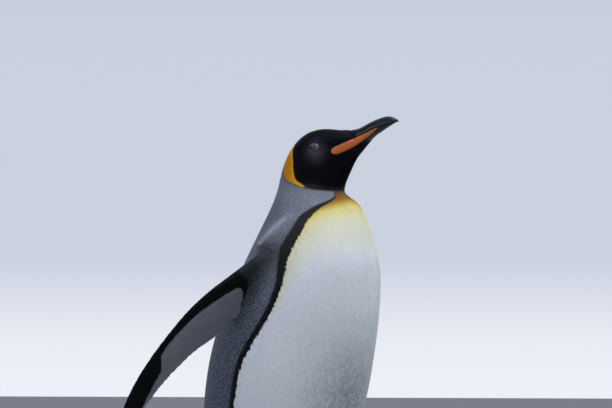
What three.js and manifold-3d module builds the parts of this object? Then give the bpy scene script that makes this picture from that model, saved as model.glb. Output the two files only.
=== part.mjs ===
// King penguin (Aptenodytes patagonicus), adult, standing: head raised, flippers drawn back and out.
// Life size, in millimetres. +X is forwards, +Y is the bird's left, +Z is up, and the floor is Z = 0.
// The surfaces are those of the plumage. Each part of the body is one closed solid.
import * as THREE from "three";
import { mergeVertices } from "three/addons/utils/BufferGeometryUtils.js";
import Module from "manifold-3d";

const wasm = await Module();
wasm.setup();

// ---------- driving dimensions ----------

const GAP = 0.35; // clearance between pieces that meet
const AROUND_TRUNK = 32; // facets around the trunk and neck
const AROUND_HEAD = 26;
const TRUNK_NECK = 13.4; // station where the neck starts
const NECK_HEAD = 16; // station where the head starts
const HEAD_END = 24;

// Sections from the tail's root to the bill's base, each a plane through a point of the back line and
// a point of the front line: [back x, back z, front x, front z, half width, widest point, front roundness].
// The widest point is a share of the way from front to back. A roundness of 2 is an ellipse, less is leaner.
const SECTIONS = [
  [-150, 118, -98, 66, 34, 0.5, 2], // tail root
  [-153, 152, -62, 58, 57, 0.5, 2], // vent
  [-156, 192, -28, 80, 80, 0.5, 2.1],
  [-158, 237, 2, 130, 99, 0.5, 2.2], // thighs
  [-159, 285, 28, 190, 113, 0.5, 2.2],
  [-158, 335, 53, 252, 124, 0.5, 2.2],
  [-154, 385, 78, 318, 131, 0.5, 2.2], // belly
  [-146, 430, 98, 380, 134.5, 0.5, 2.15],
  [-133, 475, 112, 441, 133.5, 0.5, 2.1],
  [-116, 518, 121, 501, 129, 0.48, 2.1], // breast
  [-96, 560, 125, 558, 121, 0.46, 2.1],
  [-79, 594, 124.5, 594, 111, 0.46, 2.1], // shoulders
  [-63.5, 626, 120, 624, 99, 0.46, 2],
  [-50, 655, 112.5, 654, 83, 0.48, 2],
  [-41, 679, 101.5, 679, 66, 0.5, 2],
  [-35, 701, 79.5, 697, 51, 0.5, 2], // base of the collar
  [-31, 723, 81, 709.5, 44, 0.5, 2],
  [-25, 744.5, 87.5, 720.5, 41.5, 0.52, 1.95],
  [-14, 765.5, 94.5, 731.5, 39.5, 0.54, 1.9], // cheeks
  [1, 782.5, 101.5, 741.5, 37.5, 0.56, 1.8],
  [20, 794.5, 107.5, 749.5, 35.5, 0.57, 1.7], // eyes
  [41, 799.6, 112, 756, 32, 0.57, 1.65],
  [61, 799.2, 116.5, 761.5, 27.5, 0.56, 1.65],
  [79, 797, 121, 766.5, 22.5, 0.54, 1.7],
  [97, 796.2, 125, 771, 16.4, 0.52, 1.9], // bill base
];

// The shoulders stand out of the sides as two ridges that run up and forwards into the neck.
const SHOULDER = { x: 8, z: 596, rise: 62, along: 50, across: 27, height: 25 };

// Bill, closed: [culmen x, culmen z, lower edge x, lower edge z, half width]
const BILL = [
  [84, 791, 108, 752, 17.5],
  [104, 796.5, 121, 765, 15.5],
  [119, 800, 133, 776, 12.6],
  [136, 807, 145.5, 785.6, 10],
  [152, 812.3, 157.5, 791.8, 8],
  [165, 815, 168.5, 797.6, 6.3],
  [176, 814.6, 178.5, 802.4, 4.7],
  [185, 810.8, 186, 805.8, 2.6],
];
const BILL_TIP = [189.5, 807];
const AROUND_BILL = 14;
const MOUTH = [
  [70, 760],
  [84, 766.5],
  [103, 775],
  [118, 781.5],
  [130, 786.3],
  [151.5, 795.6],
  [172, 801.5],
  [196, 805.5],
]; // line where the mandibles meet, from the gape forwards
const PLATE = { from: 1, to: 5, depth: 12.6, proud: 0.9 }; // coloured plate on the lower mandible

const EYE = { x: 52.5, y: 26.8, z: 768.6, radius: 9.6 };
const LIDS = { halfLength: 9.4, halfHeight: 7.2, depth: 8, y: 36 }; // opening between the lids

// Flippers: root, tilt of the blade and [reach, leading edge, trailing edge, thickness, inward bow]
const FLIPPER = {
  root: new THREE.Vector3(2, 114, 563),
  span: new THREE.Vector3(-0.551, 0.386, -0.74),
  chord: new THREE.Vector3(0.088, -0.855, -0.511), // from the leading to the trailing edge
  stations: [
    [-46, -24, 30, 26, 0],
    [-20, -32, 30, 27, 0],
    [6, -37.5, 26, 25, 0],
    [34, -44.5, 24, 21, 0],
    [64, -51.5, 22, 17.5, -1],
    [95, -56, 21, 15, -1.5],
    [126, -57.5, 14.5, 13.5, -1.5],
    [158, -56, 5.5, 12.5, -1],
    [190, -53.5, 2, 11.5, 0],
    [221, -49.5, 0, 10.5, 1.5],
    [251, -44, 1, 9.5, 3.5],
    [279, -36, 3.5, 8.6, 6],
    [304, -26, 5.5, 7.6, 8.5],
    [326, -15, 6, 6.4, 11],
    [341, -5, 5, 4.8, 13],
    [349, 0.5, 3.5, 2.6, 14],
  ],
};
const AROUND_FLIPPER = 16;

// Legs, feathered down to the ankle: [z, centre x, centre y, half length, half width]
const LEG = [
  [24.5, -55, 56, 17, 15.5],
  [36, -55, 56, 21, 19],
  [52, -52, 55.5, 29, 26],
  [74, -48, 54, 40, 33],
  [102, -42, 51, 50, 39],
  [136, -38, 47, 53, 39.5],
  [172, -42, 41, 40, 32],
];
const AROUND_LEG = 16;

// Feet: toes fan out from the ankle, with webs between them.
const FOOT = {
  ankle: [-55, 56],
  turnOut: 9, // degrees
  heel: 24,
  toes: [
    { name: "inner", angle: -19, length: 70, radius: 10 },
    { name: "middle", angle: 0, length: 84, radius: 10.8 },
    { name: "outer", angle: 19, length: 76, radius: 10.2 },
  ],
  toeRise: 6.6, // height of a toe's axis
  webReach: 0.86, // share of the toes that the web joins
  webThickness: 5.5,
};
const CLAW = { length: 27, radius: 4.8, droop: 8.6 };
const AROUND_TOE = 8;

// Tail: stiff feathers in a short fan that points down and back.
const TAIL = {
  root: [-126.5, 90],
  tip: [-187, 15],
  feathers: 9,
  spread: 46, // degrees across the whole fan
  halfWidth: 11.5,
  thickness: 8.5,
  shorten: 0.24, // how much shorter the outermost feathers are
};

// ---------- solids ----------

// A closed geometry as a manifold-3d solid.
function solidOf(geometry) {
  const bare = geometry.clone();
  bare.deleteAttribute("normal");
  bare.deleteAttribute("uv");
  const merged = mergeVertices(bare, 1e-4);
  return new wasm.Manifold(
    new wasm.Mesh({
      numProp: 3,
      vertProperties: new Float32Array(merged.attributes.position.array),
      triVerts: new Uint32Array(merged.index.array),
    }),
  );
}

function geometryOf(solid) {
  const mesh = mainPiece(solid).getMesh();
  const positions = new Float32Array(mesh.numVert * 3);
  for (let i = 0; i < mesh.numVert; i++) {
    positions.set(mesh.vertProperties.subarray(i * mesh.numProp, i * mesh.numProp + 3), i * 3);
  }
  return new THREE.BufferGeometry()
    .setAttribute("position", new THREE.BufferAttribute(positions, 3))
    .setIndex(new THREE.BufferAttribute(mesh.triVerts, 1));
}

// A cut can leave crumbs behind: this keeps the main piece.
function mainPiece(solid) {
  return solid.decompose().reduce((best, piece) => (piece.volume() > best.volume() ? piece : best));
}

// Skins a row of rings, each with the same number of points, and closes both ends with a fan.
// The two halves of a ring are split into triangles as mirror images of each other.
function loft(rings) {
  const count = rings[0].length;
  const points = rings.flat();
  const faces = [];
  for (let i = 0; i + 1 < rings.length; i++) {
    for (let j = 0; j < count; j++) {
      const a = i * count + j;
      const b = i * count + ((j + 1) % count);
      if (j < count / 2) faces.push(a, b, b + count, a, b + count, a + count);
      else faces.push(a, b, a + count, b, b + count, a + count);
    }
  }
  const last = (rings.length - 1) * count;
  const middle = (ring) =>
    ring.reduce((sum, p) => sum.add(p), new THREE.Vector3()).divideScalar(ring.length);
  const first = points.push(middle(rings[0])) - 1;
  const end = points.push(middle(rings.at(-1))) - 1;
  for (let j = 0; j < count; j++) {
    const k = (j + 1) % count;
    faces.push(first, k, j, end, last + j, last + k);
  }
  const geometry = new THREE.BufferGeometry().setFromPoints(points).setIndex(faces);
  return solidOf(geometry).volume() < 0 ? turned(geometry) : geometry;
}

// The same geometry with its faces turned round.
function turned(geometry) {
  const index = geometry.index.array;
  for (let i = 0; i < index.length; i += 3) {
    [index[i + 1], index[i + 2]] = [index[i + 2], index[i + 1]];
  }
  return geometry;
}

// The same geometry with its surface moved outwards.
function swollen(geometry, by) {
  const result = geometry.clone();
  result.computeVertexNormals();
  const { position, normal } = result.attributes;
  for (let i = 0; i < position.count; i++) {
    const [p, n] = [position, normal].map((a) => new THREE.Vector3().fromBufferAttribute(a, i));
    position.setXYZ(i, ...p.addScaledVector(n, by));
  }
  return result;
}

const mirrored = (geometry) => turned(geometry.clone().scale(1, -1, 1));

// A smooth curve through rows of numbers, read at a fractional row.
function smoothRows(rows) {
  const columns = rows[0].map(
    (_, c) =>
      new THREE.CatmullRomCurve3(
        rows.map((row, i) => new THREE.Vector3(i, row[c], 0)),
        false,
        "catmullrom",
        0.5,
      ),
  );
  return (t) => columns.map((curve) => curve.getPoint(t / (rows.length - 1)).y);
}

const range = (from, to, steps) =>
  Array.from({ length: steps + 1 }, (_, i) => from + ((to - from) * i) / steps);
const signedPower = (v, p) => Math.sign(v) * Math.abs(v) ** p;

// ---------- trunk, neck and head ----------

const sectionAt = smoothRows(SECTIONS);

// How far the shoulder ridges push a point of the side outwards.
function shoulderPush(x, z) {
  const rise = THREE.MathUtils.degToRad(SHOULDER.rise);
  const [dx, dz] = [x - SHOULDER.x, z - SHOULDER.z];
  const along = (dx * Math.cos(rise) + dz * Math.sin(rise)) / SHOULDER.along;
  const across = (-dx * Math.sin(rise) + dz * Math.cos(rise)) / SHOULDER.across;
  return SHOULDER.height * Math.exp(-along * along - across * across);
}

// One ring of the body at a station. inset shrinks it, and shift moves its plane along the body.
function bodyRing(t, around, shift = 0, inset = 0) {
  const [bx, bz, fx, fz, halfWidth, widest, round] = sectionAt(t);
  const back = new THREE.Vector3(bx, 0, bz);
  const front = new THREE.Vector3(fx, 0, fz);
  const across = front.clone().sub(back).normalize();
  const forwards = new THREE.Vector3(-across.z, 0, across.x).multiplyScalar(shift);
  const centre = front.clone().lerp(back, widest);
  return Array.from({ length: around }, (_, i) => {
    const angle = (2 * Math.PI * i) / around;
    const power = Math.cos(angle) > 0 ? 2 / round : 1;
    const reach = (Math.cos(angle) > 0 ? front : back).distanceTo(centre);
    const [up, side] = [Math.cos(angle), Math.sin(angle)].map((v) => signedPower(v, power));
    const point = centre.clone().addScaledVector(across, reach * up);
    point.y = (halfWidth - inset) * side + side * Math.abs(side) * shoulderPush(point.x, point.z);
    return point.addScaledVector(across, -inset * up).add(forwards);
  });
}

// A length of the body between two stations. Its ends stand back by half a gap.
function bodyLength(from, to, steps, around) {
  const rings = range(from, to, steps).map((t) => {
    const shift = t === from ? GAP / 2 : t === to ? -GAP / 2 : 0;
    return bodyRing(t, around, shift);
  });
  return loft(rings);
}

const trunk = bodyLength(0, TRUNK_NECK, 21, AROUND_TRUNK);
const neck = bodyLength(TRUNK_NECK, NECK_HEAD, 5, AROUND_TRUNK);
const head = bodyLength(NECK_HEAD, HEAD_END, 13, AROUND_HEAD);
const roundTrunk = solidOf(swollen(trunk, GAP));
const roundHead = solidOf(swollen(head, GAP));

function eyeball(radius) {
  return new THREE.SphereGeometry(radius, 12, 8).translate(EYE.x, -EYE.y, EYE.z);
}

// The space that the head leaves for the right eye: the eyeball and the dish between the lids.
function socket() {
  const dish = new THREE.SphereGeometry(1, 12, 8)
    .scale(LIDS.halfLength, LIDS.depth, LIDS.halfHeight)
    .translate(EYE.x, -LIDS.y, EYE.z);
  return solidOf(eyeball(EYE.radius + GAP)).add(solidOf(dish));
}

const headWithSockets = solidOf(head).subtract(socket()).subtract(socket().mirror([0, 1, 0]));

// ---------- bill ----------

const billAt = smoothRows(BILL);

function billRing(t) {
  const [cx, cz, lx, lz, halfWidth] = billAt(t);
  const top = new THREE.Vector3(cx, 0, cz);
  const bottom = new THREE.Vector3(lx, 0, lz);
  const centre = top.clone().lerp(bottom, 0.5);
  const half = top.clone().sub(bottom).multiplyScalar(0.5);
  return Array.from({ length: AROUND_BILL }, (_, i) => {
    const angle = (2 * Math.PI * i) / AROUND_BILL;
    const point = centre.clone().addScaledVector(half, Math.cos(angle));
    point.y = halfWidth * Math.sin(angle);
    return point;
  });
}

const billRings = range(0, BILL.length - 1, 9).map(billRing);
const billTip = new THREE.Vector3(BILL_TIP[0], 0, BILL_TIP[1]);
const bill = loft([...billRings, billRings.at(-1).map((p) => billTip.clone().lerp(p, 0.2))]);

// Everything below the mouth line, as a slab across the whole head.
function belowMouth(offset) {
  const shape = new THREE.Shape(MOUTH.map(([x, z]) => new THREE.Vector2(x, z + offset)));
  shape.lineTo(MOUTH.at(-1)[0], MOUTH[0][1] - 60);
  shape.lineTo(MOUTH[0][0], MOUTH[0][1] - 60);
  const slab = new THREE.ExtrudeGeometry(shape, { depth: 80, bevelEnabled: false });
  return solidOf(slab.rotateX(Math.PI / 2).translate(0, 40, 0));
}

// The outline of a coloured plate: its upper edge is the mouth line, its lower edge a bow.
function plateSlab() {
  const line = MOUTH.slice(PLATE.from, PLATE.to + 1);
  const edge = new THREE.SplineCurve(line.map(([x, z]) => new THREE.Vector2(x, z - GAP)));
  const lower = range(0, 1, 12).map((u) => {
    const along = edge.getTangent(u);
    const depth = PLATE.depth * Math.min(1, Math.sqrt(u * 9)) * Math.min(1, (1 - u) * 2) ** 0.7;
    return edge.getPoint(u).add(new THREE.Vector2(along.y, -along.x).multiplyScalar(depth));
  });
  const shape = new THREE.Shape([...edge.getPoints(8), ...lower.slice(1, -1).reverse()]);
  const slab = new THREE.ExtrudeGeometry(shape, { depth: 60, bevelEnabled: false });
  return solidOf(slab.rotateX(Math.PI / 2));
}

const face = roundHead.add(solidOf(swollen(bill, GAP)));
const plate = solidOf(swollen(head, GAP + PLATE.proud))
  .add(solidOf(swollen(bill, GAP + PLATE.proud)))
  .intersect(plateSlab())
  .subtract(face);
const billBeyondHead = solidOf(bill).subtract(roundHead);
const billLower = billBeyondHead.intersect(belowMouth(-GAP / 2));
const billUpper = billBeyondHead.subtract(belowMouth(GAP / 2));

// ---------- flippers ----------

const flipperAt = smoothRows(FLIPPER.stations);

// The right flipper's section: a blade with a thick leading edge and a thin trailing edge.
function flipperRing(t) {
  const [reach, lead, trail, thickness, bow] = flipperAt(t);
  const flip = (v) => new THREE.Vector3(v.x, -v.y, v.z);
  const [root, span, chord] = [flip(FLIPPER.root), flip(FLIPPER.span), flip(FLIPPER.chord)];
  const inwards = span.clone().cross(chord).normalize();
  const centre = root.addScaledVector(span, reach).addScaledVector(inwards, bow);
  return Array.from({ length: AROUND_FLIPPER }, (_, i) => {
    const angle = (2 * Math.PI * i) / AROUND_FLIPPER;
    const share = (1 - Math.cos(angle)) / 2; // 0 at the leading edge, 1 at the trailing edge
    const thin = 1 - 0.72 * share;
    return centre
      .clone()
      .addScaledVector(chord, lead + (trail - lead) * share)
      .addScaledVector(inwards, (thickness / 2) * thin * 1.25 * Math.sin(angle));
  });
}

const flipper = solidOf(loft(range(0, FLIPPER.stations.length - 1, 14).map(flipperRing)))
  .subtract(roundTrunk);

// ---------- legs and feet ----------

const legAt = smoothRows(LEG);

function legRing(t) {
  const [z, x, y, halfLength, halfWidth] = legAt(t);
  return Array.from({ length: AROUND_LEG }, (_, i) => {
    const angle = (2 * Math.PI * i) / AROUND_LEG;
    return new THREE.Vector3(x + halfLength * Math.cos(angle), y + halfWidth * Math.sin(angle), z);
  });
}

const leg = solidOf(loft(range(0, LEG.length - 1, 7).map(legRing))).subtract(roundTrunk);

// Rings along a toe or claw that runs forwards from the origin: [distance, height, half width, half height].
function limb(rows, around) {
  return loft(
    rows.map(([x, z, halfWidth, halfHeight]) =>
      Array.from({ length: around }, (_, i) => {
        const angle = (2 * Math.PI * i) / around;
        return new THREE.Vector3(x, halfWidth * Math.cos(angle), z + halfHeight * Math.sin(angle));
      }),
    ),
  );
}

// A toe swells at its two joints and at the pad under its claw.
function toe({ length, radius }) {
  const rows = [
    [-6, 1.5, 0.9, 1.25],
    [0.12 * length, 1.25, 1.0, 1.2],
    [0.32 * length, 0.8, 0.88, 1.0],
    [0.46 * length, 0.4, 1.0, 0.96],
    [0.62 * length, 0.1, 0.84, 0.84],
    [0.76 * length, 0.0, 0.95, 0.86],
    [0.9 * length, -0.1, 0.82, 0.76],
    [length, -0.2, 0.68, 0.64],
  ];
  return limb(
    rows.map(([x, rise, wide, high]) => [
      x,
      FOOT.toeRise + rise * 3,
      wide * radius,
      high * radius,
    ]),
    AROUND_TOE,
  );
}

function claw({ length }) {
  const start = length - 3.5;
  const rows = [0, 0.3, 0.62, 0.86, 1].map((u) => [
    start + CLAW.length * u,
    FOOT.toeRise + 2.2 * Math.sin(u * 2.2) - CLAW.droop * 0.62 * u * u,
    CLAW.radius * Math.sqrt(1 - 0.95 * u),
    CLAW.radius * 1.1 * Math.sqrt(1 - 0.96 * u),
  ]);
  return limb(rows, 8);
}

// The web between two toes is a thin sheet with a scalloped front edge.
function web(a, b) {
  const shape = new THREE.Shape();
  const at = (toeSpec, reach) => {
    const angle = THREE.MathUtils.degToRad(toeSpec.angle);
    return new THREE.Vector2(Math.cos(angle), Math.sin(angle)).multiplyScalar(reach * toeSpec.length);
  };
  const [p, q] = [at(a, FOOT.webReach), at(b, FOOT.webReach)];
  const dip = p.clone().add(q).multiplyScalar(0.44);
  shape.moveTo(0, 0);
  shape.lineTo(p.x, p.y);
  shape.quadraticCurveTo(dip.x, dip.y, q.x, q.y);
  shape.closePath();
  const options = { depth: FOOT.webThickness, bevelEnabled: false, curveSegments: 5 };
  return new THREE.ExtrudeGeometry(shape, options).translate(0, 0, 1.2);
}

const aboveFloor = solidOf(new THREE.BoxGeometry(400, 400, 120).translate(0, 0, 60));
const placed = (geometry) =>
  geometry
    .rotateZ(THREE.MathUtils.degToRad(FOOT.turnOut))
    .translate(FOOT.ankle[0], FOOT.ankle[1], 0);
const turnedToe = (spec, geometry) => geometry.rotateZ(THREE.MathUtils.degToRad(spec.angle));

const ankle = limb(
  [
    [-FOOT.heel, 6, 7, 6],
    [-0.8 * FOOT.heel, 8, 11, 9.5],
    [-0.3 * FOOT.heel, 10, 14, 14],
    [0.45 * FOOT.heel, 10, 15, 14],
    [1.5 * FOOT.heel, 8, 13, 10],
  ],
  AROUND_TOE + 2,
);
const footParts = [
  ankle,
  ...FOOT.toes.map((spec) => turnedToe(spec, toe(spec))),
  web(FOOT.toes[0], FOOT.toes[1]),
  web(FOOT.toes[1], FOOT.toes[2]),
];
const legTop = solidOf(
  new THREE.BoxGeometry(120, 120, 80).translate(FOOT.ankle[0], FOOT.ankle[1], LEG[0][0] - GAP + 40),
);
const wholeFoot = footParts
  .map((geometry) => solidOf(placed(geometry)))
  .reduce((sum, part) => sum.add(part))
  .intersect(aboveFloor)
  .subtract(legTop);
const claws = FOOT.toes.map((spec) => ({
  name: spec.name,
  solid: solidOf(placed(turnedToe(spec, claw(spec)))).intersect(aboveFloor),
}));
const foot = FOOT.toes
  .map((spec) => solidOf(placed(turnedToe(spec, swollen(claw(spec), GAP)))))
  .reduce((rest, shape) => rest.subtract(shape), wholeFoot);

// ---------- tail ----------

function tailFeather(share) {
  const [root, tip] = [TAIL.root, TAIL.tip].map(([x, z]) => new THREE.Vector3(x, 0, z));
  const along = tip.clone().sub(root);
  const reach = along.length() * (1 - TAIL.shorten * share * share);
  const angle = THREE.MathUtils.degToRad((TAIL.spread / 2) * share);
  along.normalize();
  const side = new THREE.Vector3(0, 1, 0);
  const over = side.clone().cross(along).normalize();
  const centreAt = (u) =>
    root
      .clone()
      .addScaledVector(side, share * 15)
      .addScaledVector(along, reach * u * Math.cos(angle))
      .addScaledVector(side, reach * u * Math.sin(angle))
      .addScaledVector(over, -6 * share * share * (0.4 + u));
  const rings = [0, 0.4, 0.8, 1].map((u) => {
    const wide = TAIL.halfWidth * Math.sqrt(Math.max(1 - u * u * u * u, 0.03));
    const thick = TAIL.thickness * (1 - 0.75 * u);
    return Array.from({ length: 6 }, (_, i) => {
      const turn = (2 * Math.PI * i) / 6;
      return centreAt(u)
        .addScaledVector(side, wide * Math.cos(turn))
        .addScaledVector(over, (thick / 2) * Math.sin(turn));
    });
  });
  return solidOf(loft(rings));
}

const tailBlade = range(-1, 1, TAIL.feathers - 1)
  .map(tailFeather)
  .reduce((sum, feather) => sum.add(feather));
// The rump closes the trunk's end over the roots of the tail feathers.
const rump = solidOf(
  loft(
    [0, -0.25, -0.5, -0.7].map((t, i) =>
      bodyRing(0, 24, -GAP / 2 - i * 9, [0.3, 3, 9, 18][i]),
    ),
  ),
);
const tail = tailBlade.add(rump).subtract(roundTrunk);

// ---------- the bird ----------

const plumage = (colour, roughness = 0.75) =>
  new THREE.MeshStandardMaterial({ color: colour, roughness, metalness: 0 });
const LOOKS = {
  hood: plumage(0x15161b),
  nape: plumage(0x8a92a4),
  body: plumage(0xdfe3e6),
  quills: plumage(0x2a2d35),
  flippers: plumage(0x3a3e49),
  horn: plumage(0x23242b, 0.35),
  plate: plumage(0xe07b3c, 0.4),
  feet: plumage(0x1f2024, 0.6),
  eyes: plumage(0x2b1a10, 0.1),
};

const bird = new THREE.Group();

function addPart(name, geometry, material) {
  const mesh = new THREE.Mesh(geometry, material);
  mesh.name = name;
  bird.add(mesh);
}

// Adds a part of the right side and its mirror image on the left, or the other way round.
function addPair(name, geometry, material, side = "right") {
  const other = side === "right" ? "left" : "right";
  addPart(`${name}_${side}`, geometry, material);
  addPart(`${name}_${other}`, mirrored(geometry), material);
}

addPart("trunk", trunk, LOOKS.body);
addPart("neck", neck, LOOKS.nape);
addPart("head", geometryOf(headWithSockets), LOOKS.hood);
addPart("bill_upper", geometryOf(billUpper), LOOKS.horn);
addPart("bill_lower", geometryOf(billLower), LOOKS.horn);
addPair("bill_plate", geometryOf(plate), LOOKS.plate);
addPair("eye", eyeball(EYE.radius), LOOKS.eyes);
addPair("flipper", geometryOf(flipper), LOOKS.flippers);
addPair("leg", geometryOf(leg), LOOKS.body, "left");
addPair("foot", geometryOf(foot), LOOKS.feet, "left");
for (const { name, solid } of claws) {
  addPair(`claw_${name}`, geometryOf(solid), LOOKS.horn, "left");
}
addPart("tail", geometryOf(tail), LOOKS.quills);

// The origin lies on the floor, below the middle of the bird's box.
const box = new THREE.Box3().setFromObject(bird);
const middle = box.getCenter(new THREE.Vector3());
bird.position.set(-middle.x, -middle.y, -box.min.z);

export default bird;
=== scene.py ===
"""King penguin, life size: plumage, bill, eyes, feet and tail over the packed solids."""

import math
from functools import partial

import bpy
import numpy as np
from bpy.props import FloatProperty, FloatVectorProperty, IntProperty, PointerProperty
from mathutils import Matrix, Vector, noise
from mathutils.bvhtree import BVHTree
from mathutils.kdtree import KDTree


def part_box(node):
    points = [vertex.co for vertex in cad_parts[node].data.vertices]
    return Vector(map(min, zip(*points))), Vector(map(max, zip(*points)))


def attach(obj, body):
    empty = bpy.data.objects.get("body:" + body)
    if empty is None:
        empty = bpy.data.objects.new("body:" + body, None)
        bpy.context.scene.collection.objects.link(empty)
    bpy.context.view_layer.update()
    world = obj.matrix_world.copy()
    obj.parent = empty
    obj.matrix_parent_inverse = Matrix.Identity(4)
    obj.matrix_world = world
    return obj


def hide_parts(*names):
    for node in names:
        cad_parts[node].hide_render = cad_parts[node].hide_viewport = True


bl_info = {
    "name": "King Penguin",
    "version": (1, 0, 0),
    "blender": (4, 5, 0),
    "location": "3D View > Sidebar > Penguin",
    "description": "Builds a life-size king penguin over its solids, piece by piece",
    "category": "Object",
}

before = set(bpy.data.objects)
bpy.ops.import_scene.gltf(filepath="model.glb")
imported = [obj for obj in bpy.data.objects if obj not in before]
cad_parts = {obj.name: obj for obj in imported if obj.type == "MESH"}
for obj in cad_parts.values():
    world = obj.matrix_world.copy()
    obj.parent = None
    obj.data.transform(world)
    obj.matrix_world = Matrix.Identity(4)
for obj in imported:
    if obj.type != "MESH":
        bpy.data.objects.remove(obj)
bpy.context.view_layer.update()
MM = 0.001

# ---------- the bird's forms, in millimetres: +X forwards, +Y its left, floor at Z = 0 ----------

# Sections of the body from the tail's root to the bill's base:
# [back x, back z, front x, front z, half width, widest point, front roundness]
SECTIONS = [
    [-150, 118, -98, 66, 34, 0.5, 2],  # tail root
    [-153, 152, -62, 58, 57, 0.5, 2],
    [-156, 192, -28, 80, 80, 0.5, 2.1],
    [-158, 237, 2, 130, 99, 0.5, 2.2],  # thighs
    [-159, 285, 28, 190, 113, 0.5, 2.2],
    [-158, 335, 53, 252, 124, 0.5, 2.2],
    [-154, 385, 78, 318, 131, 0.5, 2.2],  # belly
    [-146, 430, 98, 380, 134.5, 0.5, 2.15],
    [-133, 475, 112, 441, 133.5, 0.5, 2.1],
    [-116, 518, 121, 501, 129, 0.48, 2.1],  # breast
    [-96, 560, 125, 558, 121, 0.46, 2.1],
    [-79, 594, 124.5, 594, 111, 0.46, 2.1],  # shoulders
    [-63.5, 626, 120, 624, 99, 0.46, 2],
    [-50, 655, 112.5, 654, 83, 0.48, 2],
    [-41, 679, 101.5, 679, 66, 0.5, 2],
    [-35, 701, 79.5, 697, 51, 0.5, 2],  # collar
    [-31, 723, 81, 709.5, 44, 0.5, 2],
    [-25, 744.5, 87.5, 720.5, 41.5, 0.52, 1.95],
    [-14, 765.5, 94.5, 731.5, 39.5, 0.54, 1.9],  # cheeks
    [1, 782.5, 101.5, 741.5, 37.5, 0.56, 1.8],
    [20, 794.5, 107.5, 749.5, 35.5, 0.57, 1.7],  # eyes
    [41, 799.6, 112, 756, 32, 0.57, 1.65],
    [61, 799.2, 116.5, 761.5, 27.5, 0.56, 1.65],
    [79, 797, 121, 766.5, 22.5, 0.54, 1.7],
    [97, 796.2, 125, 771, 16.4, 0.52, 1.9],  # bill base
]
BODY_END = len(SECTIONS) - 1
SHOULDER = {"x": 8, "z": 596, "rise": 62, "along": 50, "across": 27, "height": 25}
RUMP = {"length": 30, "rounding": 22}  # dome that closes the body behind station 0

# Bill, closed: [culmen x, culmen z, lower edge x, lower edge z, half width]
BILL = [
    [84, 791, 108, 752, 17.5],
    [104, 796.5, 121, 765, 15.5],
    [119, 800, 133, 776, 12.6],
    [136, 807, 145.5, 785.6, 10],
    [152, 812.3, 157.5, 791.8, 8],
    [165, 815, 168.5, 797.6, 6.3],
    [176, 814.6, 178.5, 802.4, 4.7],
    [185, 810.8, 186, 805.8, 2.6],
]
BILL_TIP = (189.5, 807)
# The line between the mandibles, from inside the head to the bill's tip: [x, z]
MOUTH = [
    [70, 761.4],
    [84, 768.1],
    [103, 776.6],
    [118, 783.1],
    [130, 787.9],
    [151.5, 796.8],
    [172, 802.1],
    [196, 805.8],
]
PLATE = {"from": 0.62, "to": 5.15, "depth": 12.2}  # rows of the mouth line, and millimetres

EYE = {"x": 52.5, "y": 26.8, "z": 768.6, "radius": 9.6}
PUPIL = (0.004, 0.004, 0.005)
LIDS = {"half_length": 9.4, "half_height": 7.2}
GAZE = (0.22, 1, 0.1)  # forwards, outwards and upwards
# Brow, hollow and cheek: (x and z from the eye, reach along x and z, height)
FACE_RELIEF = [(0, 10.5, 13, 4, 0.9), (17, 1, 8, 6, -0.9), (-2, -14, 14, 7, 0.6)]

# Flippers: root, tilt of the blade and [reach, leading edge, trailing edge, thickness, bow]
FLIPPER_ROOT = (2, 114, 563)
FLIPPER_SPAN = (-0.551, 0.386, -0.74)
FLIPPER_CHORD = (0.088, -0.855, -0.511)
FLIPPER = [
    [-46, -24, 30, 26, 0],
    [-20, -32, 30, 27, 0],
    [6, -37.5, 26, 25, 0],
    [34, -44.5, 24, 21, 0],
    [64, -51.5, 22, 17.5, -1],
    [95, -56, 21, 15, -1.5],
    [126, -57.5, 14.5, 13.5, -1.5],
    [158, -56, 5.5, 12.5, -1],
    [190, -53.5, 2, 11.5, 0],
    [221, -49.5, 0, 10.5, 1.5],
    [251, -44, 1, 9.5, 3.5],
    [279, -36, 3.5, 8.6, 6],
    [304, -26, 5.5, 7.6, 8.5],
    [326, -15, 6, 6.4, 11],
    [341, -5, 5, 4.8, 13],
    [349, 0.5, 3.5, 2.6, 14],
]
BLADE_LENGTH = FLIPPER[-1][0]

# Legs: [z, centre x, centre y, half length, half width]
LEG = [
    [24.5, -55, 56, 17, 15.5],
    [36, -55, 56, 21, 19],
    [52, -52, 55.5, 29, 26],
    [74, -48, 54, 40, 33],
    [102, -42, 51, 50, 39],
    [136, -38, 47, 53, 39.5],
    [172, -42, 41, 40, 32],
]
FOOT = {"ankle": (-55, 56), "turn_out": 9, "toe_rise": 6.6}
TOES = {"inner": (-19, 70), "middle": (0, 84), "outer": (19, 76)}  # degrees, length
CLAW = {"length": 27, "radius": 4.8, "droop": 8.6, "hidden": 3.5}
TAIL = {"root": (-126.5, 90), "tip": (-187, 15), "root_half": 15, "spread": 46, "shorten": 0.24}

# Where the markings meet, on one side: (station, degrees from the front line)
WHITE_EDGE = [
    (15.2, 12), (14.9, 15), (14.6, 19), (14.3, 28), (13.9, 42), (13.5, 54), (12.9, 64),
    (12.3, 68), (11.3, 75), (10.6, 76), (9.6, 75), (8.8, 78.5), (8.0, 85), (7.2, 90),
    (5.6, 89), (4.3, 88), (3.5, 90), (2.6, 96), (1.5, 103), (0, 112), (-1, 118),
]
HOOD_EDGE = [
    (15.17, 0), (15.15, 22), (15.19, 44), (15.23, 54), (15.37, 65), (15.73, 78), (16.07, 92),
    (16.41, 98), (16.91, 104), (17.65, 114), (18.36, 134), (18.86, 150), (18.5, 155.5),
    (17.6, 160), (16.9, 165), (16.5, 172), (16.4, 180),
]
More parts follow.
